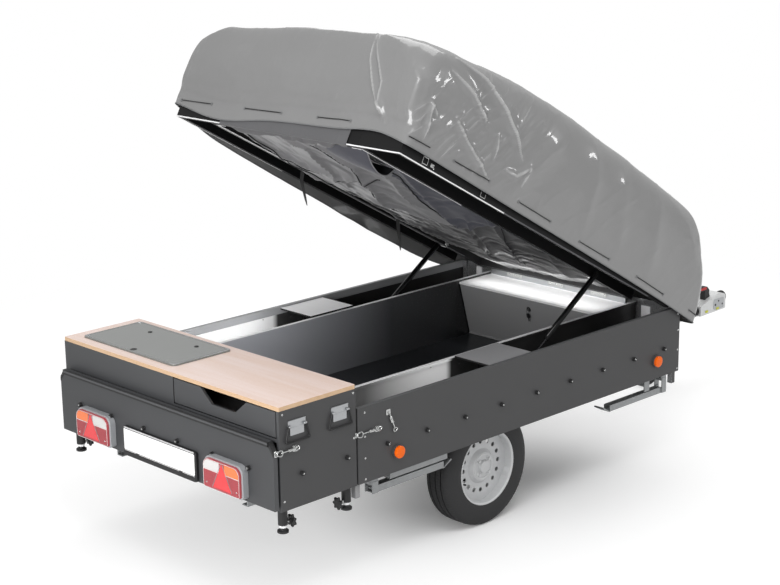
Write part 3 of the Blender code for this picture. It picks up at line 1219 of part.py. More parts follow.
def cover(skin, hinge):
    """The soft cover: sections along the lid, closed at both ends and open below."""
    rows = []
    stations = cover_stations()
    last = len(stations) - 1
    for index, (hem_u, shoulder_u, hem_v, shoulder_v, crest_v) in enumerate(stations):
        half = COVER_HALF - (COVER_FRONT_NARROWING if index == last else 0)
        row = [(-hem_u, half, hem_v), (-hem_u, half, COVER_SKIRT), (-shoulder_u, half, shoulder_v),
               (-shoulder_u, COVER_CREST_HALF, crest_v), (-shoulder_u, 0, crest_v + COVER_CROWN)]
        row += [(x, -y, z) for x, y, z in reversed(row[:-1])]
        rows.append(row)
    count = len(rows[0])
    points = [point for row in rows for point in row]
    faces = []
    for base in (0, last * count):
        end = base + count - 1
        faces += [(base, base + 1, end - 1, end), (base + 1, base + 2, end - 2, end - 1),
                  tuple(range(base + 2, end - 1))]
    for row in range(last):
        for step in range(count - 1):
            base = row * count + step
            faces.append((base, base + 1, base + 1 + count, base + count))
    sheet = from_faces(points, faces)
    bmesh.ops.triangulate(sheet, faces=sheet.faces)
    thing = node("cover", sheet, skin, hinge)
    shell = thing.modifiers.new("sheet", "SOLIDIFY")
    shell.thickness = COVER_SHEET
    shell.offset = -1
    shell.use_even_offset = True


# Gas struts

def strut_direction():
    """Upper pin in the trailer's frame, and the unit vector down to the lower pin."""
    u = Vector((-math.cos(LID_ANGLE), 0, math.sin(LID_ANGLE)))
    v = Vector((math.sin(LID_ANGLE), 0, math.cos(LID_ANGLE)))
    top = Vector((HINGE_X, 0, HINGE_Z)) + STRUT_TOP_U * u + STRUT_TOP_V * v
    foot = Vector((STRUT_FOOT_X, 0, STRUT_FOOT_Z))
    return top, (foot - top).normalized(), (foot - top).length


def strut(word, side, tube_skin, rod_skin, parent):
    top, way, length = strut_direction()
    y = side * STRUT_Y
    top = Vector((top.x, y, top.z))
    half = Vector((0, STRUT_EYE_WIDTH / 2, 0))
    eye = rod(top - half, top + half, STRUT_EYE_RADIUS, ROUND_SIDES)
    tube = rod(top + way * STRUT_EYE_RADIUS / 2, top + way * STRUT_TUBE_LENGTH, STRUT_TUBE_RADIUS)
    bore = rod(top + way * (STRUT_ROD_START / 2), top + way * (STRUT_TUBE_LENGTH + OVERRUN), STRUT_TUBE_BORE)
    hole = rod(top - half * 3, top + half * 3, STRUT_EYE_BORE)
    node("strut_tube_" + word, cut(join(tube, eye), bore, hole), tube_skin, parent, pivot=top, smooth=True)
    foot = top + way * length
    bar = rod(top + way * STRUT_ROD_START, foot - way * STRUT_EYE_RADIUS / 2, STRUT_ROD_RADIUS)
    low_eye = rod(foot - half, foot + half, STRUT_EYE_RADIUS, ROUND_SIDES)
    low_hole = rod(foot - half * 3, foot + half * 3, STRUT_EYE_BORE)
    node("strut_rod_" + word, cut(join(bar, low_eye), low_hole), rod_skin, parent, pivot=foot, smooth=True)


def build():
    for thing in list(bpy.data.objects):
        bpy.data.objects.remove(thing)
    dark = material("dark_panel", (0.078, 0.078, 0.080), 0.45, 0.2)
    rear_dark = material("rear_panel", (0.10, 0.10, 0.105), 0.45, 0.2)
    black = material("black_plastic", (0.012, 0.012, 0.012), 0.5)
    black_metal = material("black_metal", (0.015, 0.015, 0.015), 0.35, 0.6)
    zinc = material("galvanised", (0.38, 0.38, 0.38), 0.45, 0.9)
    aluminium = material("aluminium", (0.75, 0.75, 0.75), 0.3, 0.9)
    board = material("well_board", (0.03, 0.032, 0.038), 0.25)
    wood = material("beech_top", (0.80, 0.62, 0.48), 0.5)
    glass = material("hob_glass", (0.26, 0.27, 0.26), 0.1)
    steel = material("steel_tray", (0.6, 0.6, 0.6), 0.3, 0.9)
    lens = material("lamp_lens", (0.55, 0.06, 0.06), 0.2)
    white = material("blank_plate", (0.8, 0.8, 0.8), 0.4)
    rubber = material("tyre_rubber", (0.02, 0.02, 0.02), 0.8)
    wheel_steel = material("wheel_steel", (0.40, 0.40, 0.40), 0.4, 0.8)
    cloth = material("cover_cloth", (0.28, 0.28, 0.28), 0.35)
    tent = material("tent_cloth", (0.10, 0.10, 0.105), 0.8)

    trailer = empty("trailer", (-CENTRE_X, 0, 0))
    for name, side in both("side_panel"):
        side_panel(name, side, dark, trailer)
    end_wall("rear_wall", BODY_REAR, PANEL_TOP - REAR_WALL_DROP, BODY_REAR, dark, trailer)
    end_wall("front_wall", BODY_FRONT - END_WALL_THICKNESS, PANEL_TOP, BODY_FRONT - POST_SIZE, dark,
             trailer)
    floor(board, trailer)
    for name, side in both("partition"):
        partition(name, side, board, trailer)
    bulkhead(dark, trailer)
    front_box_top(aluminium, trailer)
    for name, side in both("wheel_box"):
        wheel_box(name, side, dark, trailer)

    for name, side in both("chassis_rail"):
        chassis_rail(name, side, zinc, trailer)
    cross_member("cross_member_rear", BODY_REAR + CROSS_REAR_INSET, RAIL_BOTTOM, zinc, trailer)
    cross_member("cross_member_middle", CROSS_MID_X, DRAWBAR_BOTTOM, zinc, trailer)
    for end in ("rear", "front"):
        for name, side in both(end):
            sill("sill_" + name, end, side, zinc, trailer)
            steady("steady_" + name, end, side, zinc, trailer)
    axle(black_metal, trailer)
    for name, side in both("drawbar"):
        drawbar(name, side, zinc, trailer)
    coupling_head(zinc, trailer)
    jockey_tube(zinc, trailer)
    jockey_leg(zinc, trailer)
    jockey_fork(zinc, trailer)
    jockey_wheel(rubber, trailer)
    for name, side in both("tyre"):
        tyre(name, side, rubber, trailer)
    for name, side in both("rim"):
        rim(name, side, wheel_steel, trailer)

    kitchen_carcass(rear_dark, trailer)
    worktop(wood, trailer)
    hob_tray(steel, trailer)
    hob_lid(glass, trailer)
    drawer(rear_dark, trailer)
    for end in ("rear", "front"):
        for name, side in both(end):
            kitchen_leg("leg_" + name, end, side, black, trailer)
    tailgate(rear_dark, trailer)
    for name, side in both("rear_lamp"):
        rear_lamp(name, side, lens, trailer)
    number_plate(white, trailer)

    hinge = empty("lid_hinge", (HINGE_X, 0, HINGE_Z), trailer, LID_ANGLE)
    for name, side in both("lid_side"):
        lid_side(name, side, black_metal, hinge)
    lid_beams(black_metal, hinge)
    hinge_rail(aluminium, trailer)
    tent_pack(tent, hinge)
    cover(cloth, hinge)
    for word, side in (("left", LEFT), ("right", RIGHT)):
        strut(word, side, black_metal, zinc, trailer)


build()
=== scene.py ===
import math

import bmesh
import bpy
import numpy as np
from mathutils import Matrix, Vector, noise


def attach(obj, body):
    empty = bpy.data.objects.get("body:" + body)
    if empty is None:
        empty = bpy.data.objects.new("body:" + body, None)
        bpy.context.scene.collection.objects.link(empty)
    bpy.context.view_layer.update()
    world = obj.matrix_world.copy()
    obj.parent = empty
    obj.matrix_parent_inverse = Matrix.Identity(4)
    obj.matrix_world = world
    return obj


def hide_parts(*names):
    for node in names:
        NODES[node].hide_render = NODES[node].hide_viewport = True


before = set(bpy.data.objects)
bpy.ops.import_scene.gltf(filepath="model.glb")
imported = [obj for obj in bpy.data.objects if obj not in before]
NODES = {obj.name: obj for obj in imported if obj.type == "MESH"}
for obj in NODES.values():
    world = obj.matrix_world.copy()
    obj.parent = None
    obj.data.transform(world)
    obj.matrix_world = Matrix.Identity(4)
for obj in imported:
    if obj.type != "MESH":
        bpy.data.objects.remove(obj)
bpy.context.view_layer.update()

CX = 2.0796  # the row frame's origin, counted from the worktop's rear edge
LID = math.radians(29.03)  # the lid's opening in the photo
HX, HZ = 2.668, 0.860  # the lid's hinge
HALF = 0.7745  # half the body's width, to the panels' outer faces
AXLE_Z = 0.288
SHUT_TOP = 0.94787  # top of the hob's shut lid
SIDES = (("right", -1), ("left", 1))
WHEEL_X = 0.447 + 0.39784 * 2.31 - CX
STRUT_FOOT_X = WHEEL_X + CX + 0.304
FLOOR_GAIN = 1.17


def W(x, y, z):
    """A point counted from the worktop's rear edge, in the row frame."""
    return Vector((x - CX, y, z))


def L(u, y, v):
    """A point of the lid: u rearwards from its hinge, v upwards when shut."""
    return Vector((HX - u * math.cos(LID) + v * math.sin(LID) - CX, y,
                   HZ + u * math.sin(LID) + v * math.cos(LID)))


def rgb(r, g, b):
    def one(c):
        c /= 255
        return c / 12.92 if c <= 0.04045 else ((c + 0.055) / 1.055) ** 2.4
    return (one(r), one(g), one(b), 1)


# Materials

class Graph:
    """Short calls for a node tree: add() makes a node, sets its inputs and links other nodes to it."""

    def __init__(self, tree):
        self.nodes, self.links = tree.nodes, tree.links

    def add(self, kind, inputs=None, **props):
        node = self.nodes.new("ShaderNode" + kind)
        for key, value in props.items():
            setattr(node, key, value)
        for key, value in (inputs or {}).items():
            self.put(node.inputs[key], value)
        return node

    def put(self, socket, value):
        if isinstance(value, bpy.types.NodeSocket):
            self.links.new(value, socket)
        else:
            socket.default_value = value

    def span(self, value, from_min=0.0, from_max=1.0, to_min=0.0, to_max=1.0, **props):
        return self.add("MapRange", {"Value": value, "From Min": from_min, "From Max": from_max,
                                     "To Min": to_min, "To Max": to_max}, **props).outputs["Result"]

    def math(self, operation, a, b=0.5, **props):
        return self.add("Math", {0: a, 1: b}, operation=operation, **props).outputs[0]

    def noise(self, vector, scale, detail):
        return self.add("TexNoise", {"Vector": vector, "Scale": scale, "Detail": detail}).outputs["Fac"]

    def mix(self, factor, a, b):
        return self.add("Mix", {"Factor": factor, "A": a, "B": b}, data_type="RGBA").outputs["Result"]

    def place(self, scale):
        return self.add("Mapping", {"Vector": self.here(), "Scale": scale}).outputs["Vector"]

    def here(self):
        return self.add("TexCoord").outputs["Object"]

    def bump(self, height, strength, distance):
        normal = self.add("Bump",
                          {"Height": height, "Strength": strength, "Distance": distance}).outputs["Normal"]
        self.put(self.shader.inputs["Normal"], normal)

    def show(self, kind, lit, seen):
        """The output: the camera's rays get seen, all others lit."""
        eye = self.add("LightPath").outputs["Is Camera Ray"]
        mix = self.add("MixShader", {"Fac": eye, 1: lit.outputs[0], 2: seen.outputs[0]})
        self.add("Output" + kind, {"Surface": mix.outputs[0]})

    @property
    def shader(self):
        return self.nodes["Principled BSDF"]


def material(name, colour, rough=0.5, metal=0.0, vary=0.08, grain=60.0, bump=0.1, depth=0.0004,
             stretch=(1, 1, 1), rough_vary=0.08, coat=0.0, coat_rough=0.1, spec=0.5, worn_and_glint=0.0,
             worn_and_glint_span=(0.53, 0.60)):
    """A surface with fine grain, slow colour drift, roughness drift and lighter sharp edges: worn edges on
    most surfaces, a painted highlight along the cover's creases.
    """
    m = bpy.data.materials.new(name)
    m.use_nodes = True
    g = Graph(m.node_tree)
    inputs = g.shader.inputs
    for key, value in (("Metallic", metal), ("Specular IOR Level", spec), ("Coat Weight", coat),
                       ("Coat Roughness", coat_rough)):
        inputs[key].default_value = value
    place = g.place(stretch)
    fine = g.noise(place, grain, 6)
    both = g.math("ADD", g.noise(place, 2.5, 4), fine)

    def tone(gain, lift=0.0):
        return [min(1, c * gain + lift) for c in colour[:3]] + [1]
    out = g.mix(g.span(both, 0.6, 1.4), tone(1 - vary), tone(1 + vary))
    # Lighter where the surface is sharp and convex: real edge wear on panels, paint and wheels; on the cover,
    # a painted highlight along its creases.
    if worn_and_glint:
        point = g.add("NewGeometry").outputs["Pointiness"]
        out = g.mix(g.span(point, *worn_and_glint_span, 0.0, worn_and_glint), out, tone(1.8, 0.05))
    g.put(inputs["Base Color"], out)
    g.put(inputs["Roughness"],
          g.span(fine, 0.0, 1.0, max(0.02, rough - rough_vary), min(1, rough + rough_vary)))
    if bump:
        g.bump(fine, bump, depth)
    return m


def painted_reflection_material(name, stops, rough=0.32, metal=0.15, tint=(1, 1, 1)):
    """A sheet whose tone runs along X: a painted reflection of a bright room, as a polished face would mirror
    it.
    """
    m = material(name, rgb(128, 128, 128), rough, metal, vary=0.02, grain=500, bump=0.08,
                 stretch=(0.1, 1, 1), coat=0.2)
    g = Graph(m.node_tree)
    x = g.add("SeparateXYZ", {0: g.here()}).outputs["X"]
    ramp = g.add("ValToRGB", {"Fac": g.span(x, *WELL_SPAN)})
    while len(ramp.color_ramp.elements) < len(stops):
        ramp.color_ramp.elements.new(0.5)
    for one, (at, tone) in zip(ramp.color_ramp.elements, stops):
        one.position = at
        one.color = [min(1, c * t) for c, t in zip(rgb(tone, tone, tone), tint)] + [1]
    g.put(g.shader.inputs["Base Color"], ramp.outputs["Color"])
    return m


def wood_material(name, base, dark):
    """Beech decor: long narrow flecks along Y over a pale ground."""
    m = material(name, base, 0.42, vary=0.03, grain=90, bump=0.05)
    g = Graph(m.node_tree)
    wave = g.noise(g.place((26, 1.6, 26)), 1.0, 5)
    dots = g.noise(g.place((420, 60, 420)), 1.0, 2)
    both = g.math("ADD", g.span(wave, 0.35, 0.75, 0.0, 0.5), g.span(dots, 0.58, 0.75, 0.0, 0.55),
                  use_clamp=True)
    g.put(g.shader.inputs["Base Color"], g.mix(both, base, dark))
    return m


def weave_material(name, colour, rough=0.75, thread=900.0, coat=0.0, spec=0.3):
    """Woven tent cloth: crossed threads in the bump, slow drift of the colour."""
    m = material(name, colour, rough, vary=0.10, grain=240, bump=0.0, coat=coat, spec=spec)
    g = Graph(m.node_tree)
    here = g.here()
    threads = [g.add("TexWave", {"Vector": here, "Scale": thread / 6, "Distortion": 0.4}, wave_type="BANDS",
                     bands_direction=way).outputs["Fac"] for way in "XY"]
    g.bump(g.math("MAXIMUM", *threads), 0.25, 0.0003)
    g.shader.inputs["Sheen Weight"].default_value = 0.25
    return m


def tread_material(name, colour):
    """Tyre rubber with fine sipes across the tread's shoulders and rings on the side walls."""
    m = material(name, colour, 0.68, vary=0.14, grain=160, bump=0.25, depth=0.0006, rough_vary=0.1)
    g = Graph(m.node_tree)
    sep = g.add("SeparateXYZ", {0: g.here()})
    x = g.math("SUBTRACT", sep.outputs["X"], WHEEL_X)
    z = g.math("SUBTRACT", sep.outputs["Z"], AXLE_Z)
    radius = g.math("POWER", g.math("ADD", g.math("MULTIPLY", x, x), g.math("MULTIPLY", z, z)), 0.5)
    sine = g.math("SINE", g.math("MULTIPLY", g.math("ARCTAN2", z, x), 110.0), 0.0)
    cuts = g.span(sine, 0.72, 0.92, 1.0, 0.0)
    on_tread = g.span(radius, 0.272, 0.278)
    sipes = g.add("Mix", {0: on_tread, 2: 1.0, 3: cuts}, data_type="FLOAT").outputs[0]
    rings = g.math("SINE", g.math("MULTIPLY", radius, 900.0), 0.0)
    g.bump(g.math("ADD", sipes, g.math("MULTIPLY", rings, 0.12)), 0.8, 0.0016)
    return m


WELL_SPAN = (-1.64, 0.70)
PANEL = dict(vary=0.05, grain=700, bump=0.25, depth=0.0003)
LENS = dict(grain=150, bump=0.3, depth=0.0006)
FINE = dict(vary=0.05, grain=300, bump=0.05)
MATERIALS = {  # key: name, colour, roughness, metal, the rest
    "side": ("side_panel", (67, 67, 68), 0.48, 0, dict(PANEL, worn_and_glint=0.25)),
    "rear": ("rear_panel", (64, 65, 67), 0.48, 0, dict(PANEL, worn_and_glint=0.25)),
    # The far lip is the same lip as the near one, painted lighter as lit.
    "lip_far": ("panel_lip_far_painted_lit", (150, 151, 153), 0.4, 0, dict(vary=0.05, grain=500, bump=0.15)),
    "lip": ("panel_lip", (96, 97, 98), 0.4, 0, dict(vary=0.05, grain=500, bump=0.15)),
    "well_floor": ("well_floor", (52, 54, 58), 0.3, 0, dict(vary=0.15, grain=300, bump=0.3, depth=0.0005)),
    # The bulkhead is painted lighter than its own grey: painted light for the shade it stands in, down in the
    # well.
    "bulkhead": ("bulkhead_panel_lightened", (150, 150, 151), 0.45, 0, dict(vary=0.05, grain=700, bump=0.2)),
    "bright": ("bright_sheet", (205, 206, 208), 0.28, 0.85,
               dict(vary=0.04, grain=900, bump=0.12, stretch=(0.05, 1, 1), rough_vary=0.1)),
    # The bridge plates are one part: painted darker on the near side as shade, lighter on the far side as
    # lit.
    "bridge_near_painted_shade": ("bridge_near_painted_shade", (158, 158, 160), 0.4, 0.1, dict(vary=0.03, grain=300, bump=0.1)),
    "bridge_far_painted_lit": ("bridge_far_painted_lit", (250, 250, 251), 0.35, 0, dict(vary=0.02, grain=300, bump=0.06)),
    "box_top": ("box_top_sheet", (252, 252, 252), 0.4, 0,
                dict(vary=0.01, grain=500, bump=0.05, stretch=(0.1, 1, 1))),
    "kitchen_side": ("kitchen_side", (60, 60, 61), 0.5, 0, dict(PANEL, worn_and_glint=0.2)),
    "alu": ("aluminium", (190, 192, 194), 0.32, 0.95,
            dict(vary=0.05, grain=800, bump=0.15, stretch=(0.08, 1, 1), rough_vary=0.12)),
    "zinc": ("galvanised", (158, 160, 161), 0.42, 0.75,
             dict(vary=0.16, grain=38, bump=0.15, depth=0.0003, rough_vary=0.16)),
    "black_metal": ("black_paint", (14, 14, 15), 0.45, 0,
                    dict(spec=0.22, vary=0.15, grain=300, bump=0.12, depth=0.0002, worn_and_glint=0.15)),
    "black": ("black_plastic", (28, 28, 29), 0.45, 0, dict(vary=0.12, grain=400, bump=0.2, depth=0.0003)),
    "edge_white": ("white_edge", (248, 248, 249), 0.35, 0.1, dict(FINE, vary=0.03)),
    "chrome": ("bright_zinc", (205, 206, 205), 0.18, 0.95, dict(FINE, grain=200)),
    "glass": ("smoked_glass", (120, 123, 120), 0.08, 0,
              dict(vary=0.05, grain=20, bump=0.0, coat=0.8, coat_rough=0.03, spec=0.6, rough_vary=0.02)),
    "steel": ("steel_tray", (190, 190, 190), 0.28, 0.95,
              dict(vary=0.04, grain=700, bump=0.1, stretch=(1, 0.08, 1))),
    "orange": ("orange_lens", (255, 108, 0), 0.3, 0,
               dict(vary=0.03, grain=120, bump=0.15, coat=0.1, coat_rough=0.1, spec=0.25)),
    "red": ("red_lens", (170, 72, 78), 0.3, 0, dict(LENS, vary=0.10, coat=0.15, coat_rough=0.08, spec=0.3)),
    "deep_red": ("red_reflector", (228, 28, 38), 0.22, 0,
                 dict(LENS, vary=0.10, grain=300, bump=0.4, coat=0.9, coat_rough=0.04)),
    "amber": ("amber_lens", (238, 118, 50), 0.15, 0, dict(LENS, coat=0.8, coat_rough=0.05)),
    "clear": ("clear_lens", (214, 212, 210), 0.12, 0, dict(LENS, coat=0.9, coat_rough=0.04)),
    "lamp_rim": ("lamp_rim", (168, 170, 173), 0.35, 0.2, dict(vary=0.05, grain=250, bump=0.1)),
    "lamp_line": ("lamp_line", (232, 226, 224), 0.25, 0, dict(vary=0.04, grain=200, bump=0.1, coat=0.6)),
    "plate": ("blank_plate", (252, 252, 252), 0.3, 0, dict(vary=0.01, grain=300, bump=0.06, coat=0.3)),
    "tyre": ("tyre_rubber", (46, 46, 47), 0.72, 0,
             dict(vary=0.15, grain=160, bump=0.3, depth=0.0008, rough_vary=0.1)),
    "wheel": ("wheel_steel", (205, 206, 207), 0.42, 0.25, dict(vary=0.05, grain=300, bump=0.1, worn_and_glint=0.1)),
    "rubber": ("soft_rubber", (30, 30, 31), 0.6, 0, dict(vary=0.12, grain=220, bump=0.25, depth=0.0005)),
    "grip_red": ("grip_red", (190, 36, 34), 0.35, 0, dict(vary=0.06, grain=260, bump=0.15)),
    "yellow": ("yellow_mark", (205, 205, 60), 0.35, 0, dict(vary=0.06, grain=260, bump=0.1)),
    # The cover's strong lightening of its sharp creases is a painted highlight where the folds catch the
    # light, not wear.
    "pvc": ("cover_pvc", (132, 132, 132), 0.36, 0,
            dict(vary=0.035, grain=420, bump=0.08, depth=0.0003, rough_vary=0.06, coat=1.0, coat_rough=0.07,
                 worn_and_glint=0.9, worn_and_glint_span=(0.512, 0.56))),
    "pvc_back": ("cover_lining", (120, 121, 122), 0.5, 0, dict(vary=0.05, grain=500, bump=0.15)),
    # The same edge profile painted dim, as shade.
    "trim_dim": ("edge_painted_shade", (96, 97, 99), 0.4, 0.2, FINE),
    "seam": ("seam_tape", (24, 24, 26), 0.5, 0, dict(vary=0.1, grain=500, bump=0.2)),
    "coupling": ("coupling_zinc", (222, 223, 223), 0.45, 0.25, dict(bump=0.15, depth=0.0003)),
    "gloss_black": ("gloss_black", (10, 10, 11), 0.22, 0, dict(vary=0.1, grain=200, bump=0.03, coat=0.4)),
    "rod": ("strut_rod", (58, 58, 60), 0.22, 0.6, FINE),
}
WEAVES = {
    "tent": ("tent_cloth", (116, 116, 118), dict(rough=0.5, coat=0.5, spec=0.5)),
    # The shade and deep tent cloths are the grey cloth painted darker as shade: ahead of the belly's lip, and
    # deep in the pack towards the hinge and along the near side.
    "tent_shade": ("tent_shade_cloth", (54, 54, 56), dict(rough=0.5, coat=0.6, spec=0.5)),
    "tent_deep": ("tent_painted_shadow_cloth", (26, 26, 29), dict(coat=0.08)),
    "tent_end": ("tent_end_cloth", (92, 92, 94), dict(rough=0.6)),
    "tent_dark": ("tent_blue_cloth", (66, 67, 76), dict(rough=0.6, coat=0.3)),
    "strap": ("strap_webbing", (30, 30, 31), dict(rough=0.7, thread=1500)),
}
M = {}


def make_materials():
    for key, (name, colour, rough, metal, rest) in MATERIALS.items():
        M[key] = material(name, rgb(*colour), rough, metal, **rest)
    for key, (name, colour, rest) in WEAVES.items():
        M[key] = weave_material(name, rgb(*colour), **rest)
    # Painted reflections: the locker sheets and the well board get a bright-to-dark ramp along X in their
    # colour, with a cool tint on the well board.
    M["sheet_outer"] = painted_reflection_material("locker_sheet_outer_painted_reflection",
                                     ((0, 255), (0.30, 255), (0.36, 235), (0.375, 60), (1, 44)))
    M["sheet_inner"] = painted_reflection_material("locker_sheet_inner_painted_reflection", ((0, 66), (0.13, 90), (0.26, 200), (0.36, 255),
                                                            (0.375, 48), (1, 40)))
    M["well"] = painted_reflection_material("well_board",
                              ((0, 252), (0.18, 228), (0.38, 176), (0.62, 80), (0.9, 20), (1, 15)), 0.25, 0.0,
                              (0.96, 0.98, 1.05))
    M["tyre_tread"] = tread_material("tyre_tread", rgb(44, 44, 45))
    M["beech"] = wood_material("beech_top", rgb(241, 221, 213), rgb(227, 196, 175))
    M["beech_edge"] = wood_material("beech_edge", rgb(212, 180, 146), rgb(192, 154, 116))


# Meshes

def thing(name, bm, mats, body, smooth=True, bevel=0.0, angle=35):
    """A finished piece from bm, riding on a body; mats holds its materials' keys in M, in one string."""
    mesh = bpy.data.meshes.new(name)
    bmesh.ops.recalc_face_normals(bm, faces=bm.faces)
    bm.to_mesh(mesh)
    bm.free()
    for key in mats.split():
        mesh.materials.append(M[key])
    o = bpy.data.objects.new(name, mesh)
    bpy.context.scene.collection.objects.link(o)
    if smooth:
        mesh.shade_smooth()
        mesh.set_sharp_from_angle(angle=math.radians(angle))
    if bevel:
        add_bevel(o, bevel, 2, 30)
    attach(o, body)
    return o


def add_bevel(o, width, segments, angle):
    b = o.modifiers.new("bevel", "BEVEL")
    b.width = width
    b.segments = segments
    b.limit_method = "ANGLE"
    b.angle_limit = math.radians(angle)
    b.harden_normals = True


def new():
    return bmesh.new()


def turn(sides):
    """The angles of a full turn in equal steps."""
    return [2 * math.pi * k / sides for k in range(sides)]


def bridge(bm, rings, index=0, closed=False, caps=True):
    """Faces between rings of vertices; closed joins the last ring to the first, else caps fill the ends."""
    n = len(rings[0])
    for one, two in list(zip(rings, rings[1:])) + ([(rings[-1], rings[0])] if closed else []):
        for k in range(n):
            bm.faces.new((one[k], one[(k + 1) % n], two[(k + 1) % n], two[k])).material_index = index
    if caps and not closed:
        bm.faces.new(rings[0][::-1]).material_index = index
        bm.faces.new(rings[-1]).material_index = index


def paste(bm, verts, faces, index=0):
    vs = [bm.verts.new(v) for v in verts]
    for f in faces:
        face = bm.faces.new([vs[i] for i in f])
        face.material_index = index
    return bm


def block(bm, lo, hi, index=0, at=W):
    (x0, y0, z0), (x1, y1, z1) = lo, hi
    c = [at(x, y, z) for z in (z0, z1) for x, y in ((x0, y0), (x1, y0), (x1, y1), (x0, y1))]
    return paste(bm, c,
                 [(3, 2, 1, 0), (4, 5, 6, 7), (0, 1, 5, 4), (1, 2, 6, 5), (2, 3, 7, 6), (3, 0, 4, 7)], index)


def lathe(bm, a, b, profile, sides=24, index=0, cap=True):
    """Turns (distance along a to b, radius) pairs about the line from a to b."""
    a, b = Vector(a), Vector(b)
    d = (b - a).normalized()
    side = d.orthogonal().normalized()
    other = d.cross(side)
    rings = [[bm.verts.new(a + d * s + (side * math.cos(t) + other * math.sin(t)) * r) for t in turn(sides)]
             for s, r in profile]
    bridge(bm, rings, index, caps=cap)


def bar(bm, a, b, r, sides=16, index=0):
    span = (Vector(b) - Vector(a)).length
    e = min(r * 0.25, span / 4)
    lathe(bm, a, b, [(0, r - e), (e, r), (span - e, r), (span, r - e)], sides, index)


def pipe(bm, points, r, sides=8, index=0, closed=False):
    """A round section along a line of points."""
    pts = [Vector(p) for p in points]
    rings = []
    up = None
    for i, p in enumerate(pts):
        q = pts[(i + 1) % len(pts)] if closed or i + 1 < len(pts) else pts[i]
        o = pts[i - 1] if closed or i else pts[i]
        d = (q - o).normalized()
        if up is None:
            up = d.orthogonal().normalized()
        up = (up - d * up.dot(d)).normalized()
        side = d.cross(up)
        rings.append([bm.verts.new(p + (up * math.cos(t) + side * math.sin(t)) * r) for t in turn(sides)])
    bridge(bm, rings, index, closed)


def smooth_line(points, count=8, closed=False):
    """Catmull-Rom through the points."""
    pts = [Vector(p) for p in points]
    n = len(pts)
    out = []
    for i in range(n if closed else n - 1):
        p0 = pts[(i - 1) % n] if closed or i else pts[i]
        p1, p2 = pts[i], pts[(i + 1) % n]
        p3 = pts[(i + 2) % n] if closed or i + 2 < n else p2
        for k in range(count):
            t = k / count
            out.append(0.5 * ((2 * p1) + (p2 - p0) * t + (2 * p0 - 5 * p1 + 4 * p2 - p3) * t * t
                              + (3 * p1 - p0 - 3 * p2 + p3) * t ** 3))
    if not closed:
        out.append(pts[-1])
    return out


def plate(bm, outline, place, thick, index=0):
    """A flat outline of pairs at 0 and at thick, through place(a, b, c)."""
    n = len(outline)
    verts = [place(a, b, 0) for a, b in outline] + [place(a, b, thick) for a, b in outline]
    faces = [tuple(range(n))[::-1], tuple(range(n, 2 * n))]
    faces += [(i, (i + 1) % n, (i + 1) % n + n, i + n) for i in range(n)]
    return paste(bm, verts, faces, index)


def round_rect(x0, x1, y0, y1, radii, steps=6):
    """A rectangle with round corners; radii is one number or one for each corner."""
    radii = radii if isinstance(radii, tuple) else (radii,) * 4
    corners = ((x0, y0, 1, 1, 180), (x1, y0, -1, 1, 270), (x1, y1, -1, -1, 0), (x0, y1, 1, -1, 90))
    pts = []
    for (x, y, dx, dy, start), r in zip(corners, radii):
        for k in range(steps + 1):
            a = math.radians(start + 90 * k / steps)
            pts.append((x + dx * r + r * math.cos(a), y + dy * r + r * math.sin(a)))
    return pts


def side_place(g, lift=0.0004):
    """Places (x, z, out) on the body's right (g -1) or left (g 1) face."""
    return lambda a, b, c: W(a, g * (HALF + lift + c), b)


def rear_place(x):
    """Places (y, z, out) behind a face that lies at x."""
    return lambda a, b, c: W(x - c, a, b)


def box_line(x0, x1, z0, z1):
    return [(x0, z0), (x1, z0), (x1, z1), (x0, z1)]


def seg_dist(px, py, ax, ay, bx, by):
    """Distance from points to a segment, with the share along it."""
    dx, dy = bx - ax, by - ay
    t = np.clip(((px - ax) * dx + (py - ay) * dy) / (dx * dx + dy * dy), 0, 1)
    return np.hypot(px - ax - t * dx, py - ay - t * dy), t


def folds(p, q, lines):
    """Height of ridges along polylines: (points, half width, height, sharpness)."""
    total = np.zeros_like(p)
    for pts, width, height, sharp in lines:
        best = np.full_like(p, 1e9)
        along = np.zeros_like(p)
        n = len(pts) - 1
        for i, ((ax, ay), (bx, by)) in enumerate(zip(pts, pts[1:])):
            d, t = seg_dist(p, q, ax, ay, bx, by)
            closer = d < best
            best = np.where(closer, d, best)
            along = np.where(closer, (i + t) / n, along)
        taper = np.clip(np.minimum(along, 1 - along) * 5, 0, 1) * 0.75 + 0.25
        w = width * (0.55 + 0.45 * taper)
        total += height * taper * np.exp(-(best / w) ** sharp)
    return total


def fbm(points, scale, octaves=4, seed=0.0):
    out = np.empty(len(points))
    for i, (x, y, z) in enumerate(points):
        at = Vector((x * scale[0] + seed, y * scale[1] - seed, z * scale[2] + seed))
        out[i] = noise.fractal(at, 1.0, 2.0, octaves)
    return out


def ridged(points, scale, seed=0.0, octaves=3):
    """Thin ridges where slow noise crosses zero."""
    n = fbm(points, scale, octaves, seed)
    return 1 - np.clip(np.abs(n) * 4.0, 0, 1)


def spline(x, table):
    """Smooth interpolation of a table of (x, y), x rising."""
    xs = np.array([a for a, _ in table], float)
    ys = np.array([b for _, b in table], float)
    slope = np.gradient(ys, xs)
    i = np.clip(np.searchsorted(xs, x) - 1, 0, len(xs) - 2)
    h = xs[i + 1] - xs[i]
    t = np.clip((x - xs[i]) / h, 0, 1)
    return ((2 * t ** 3 - 3 * t ** 2 + 1) * ys[i] + (t ** 3 - 2 * t ** 2 + t) * h * slope[i]
            + (-2 * t ** 3 + 3 * t ** 2) * ys[i + 1] + (t ** 3 - t ** 2) * h * slope[i + 1])


# Cover

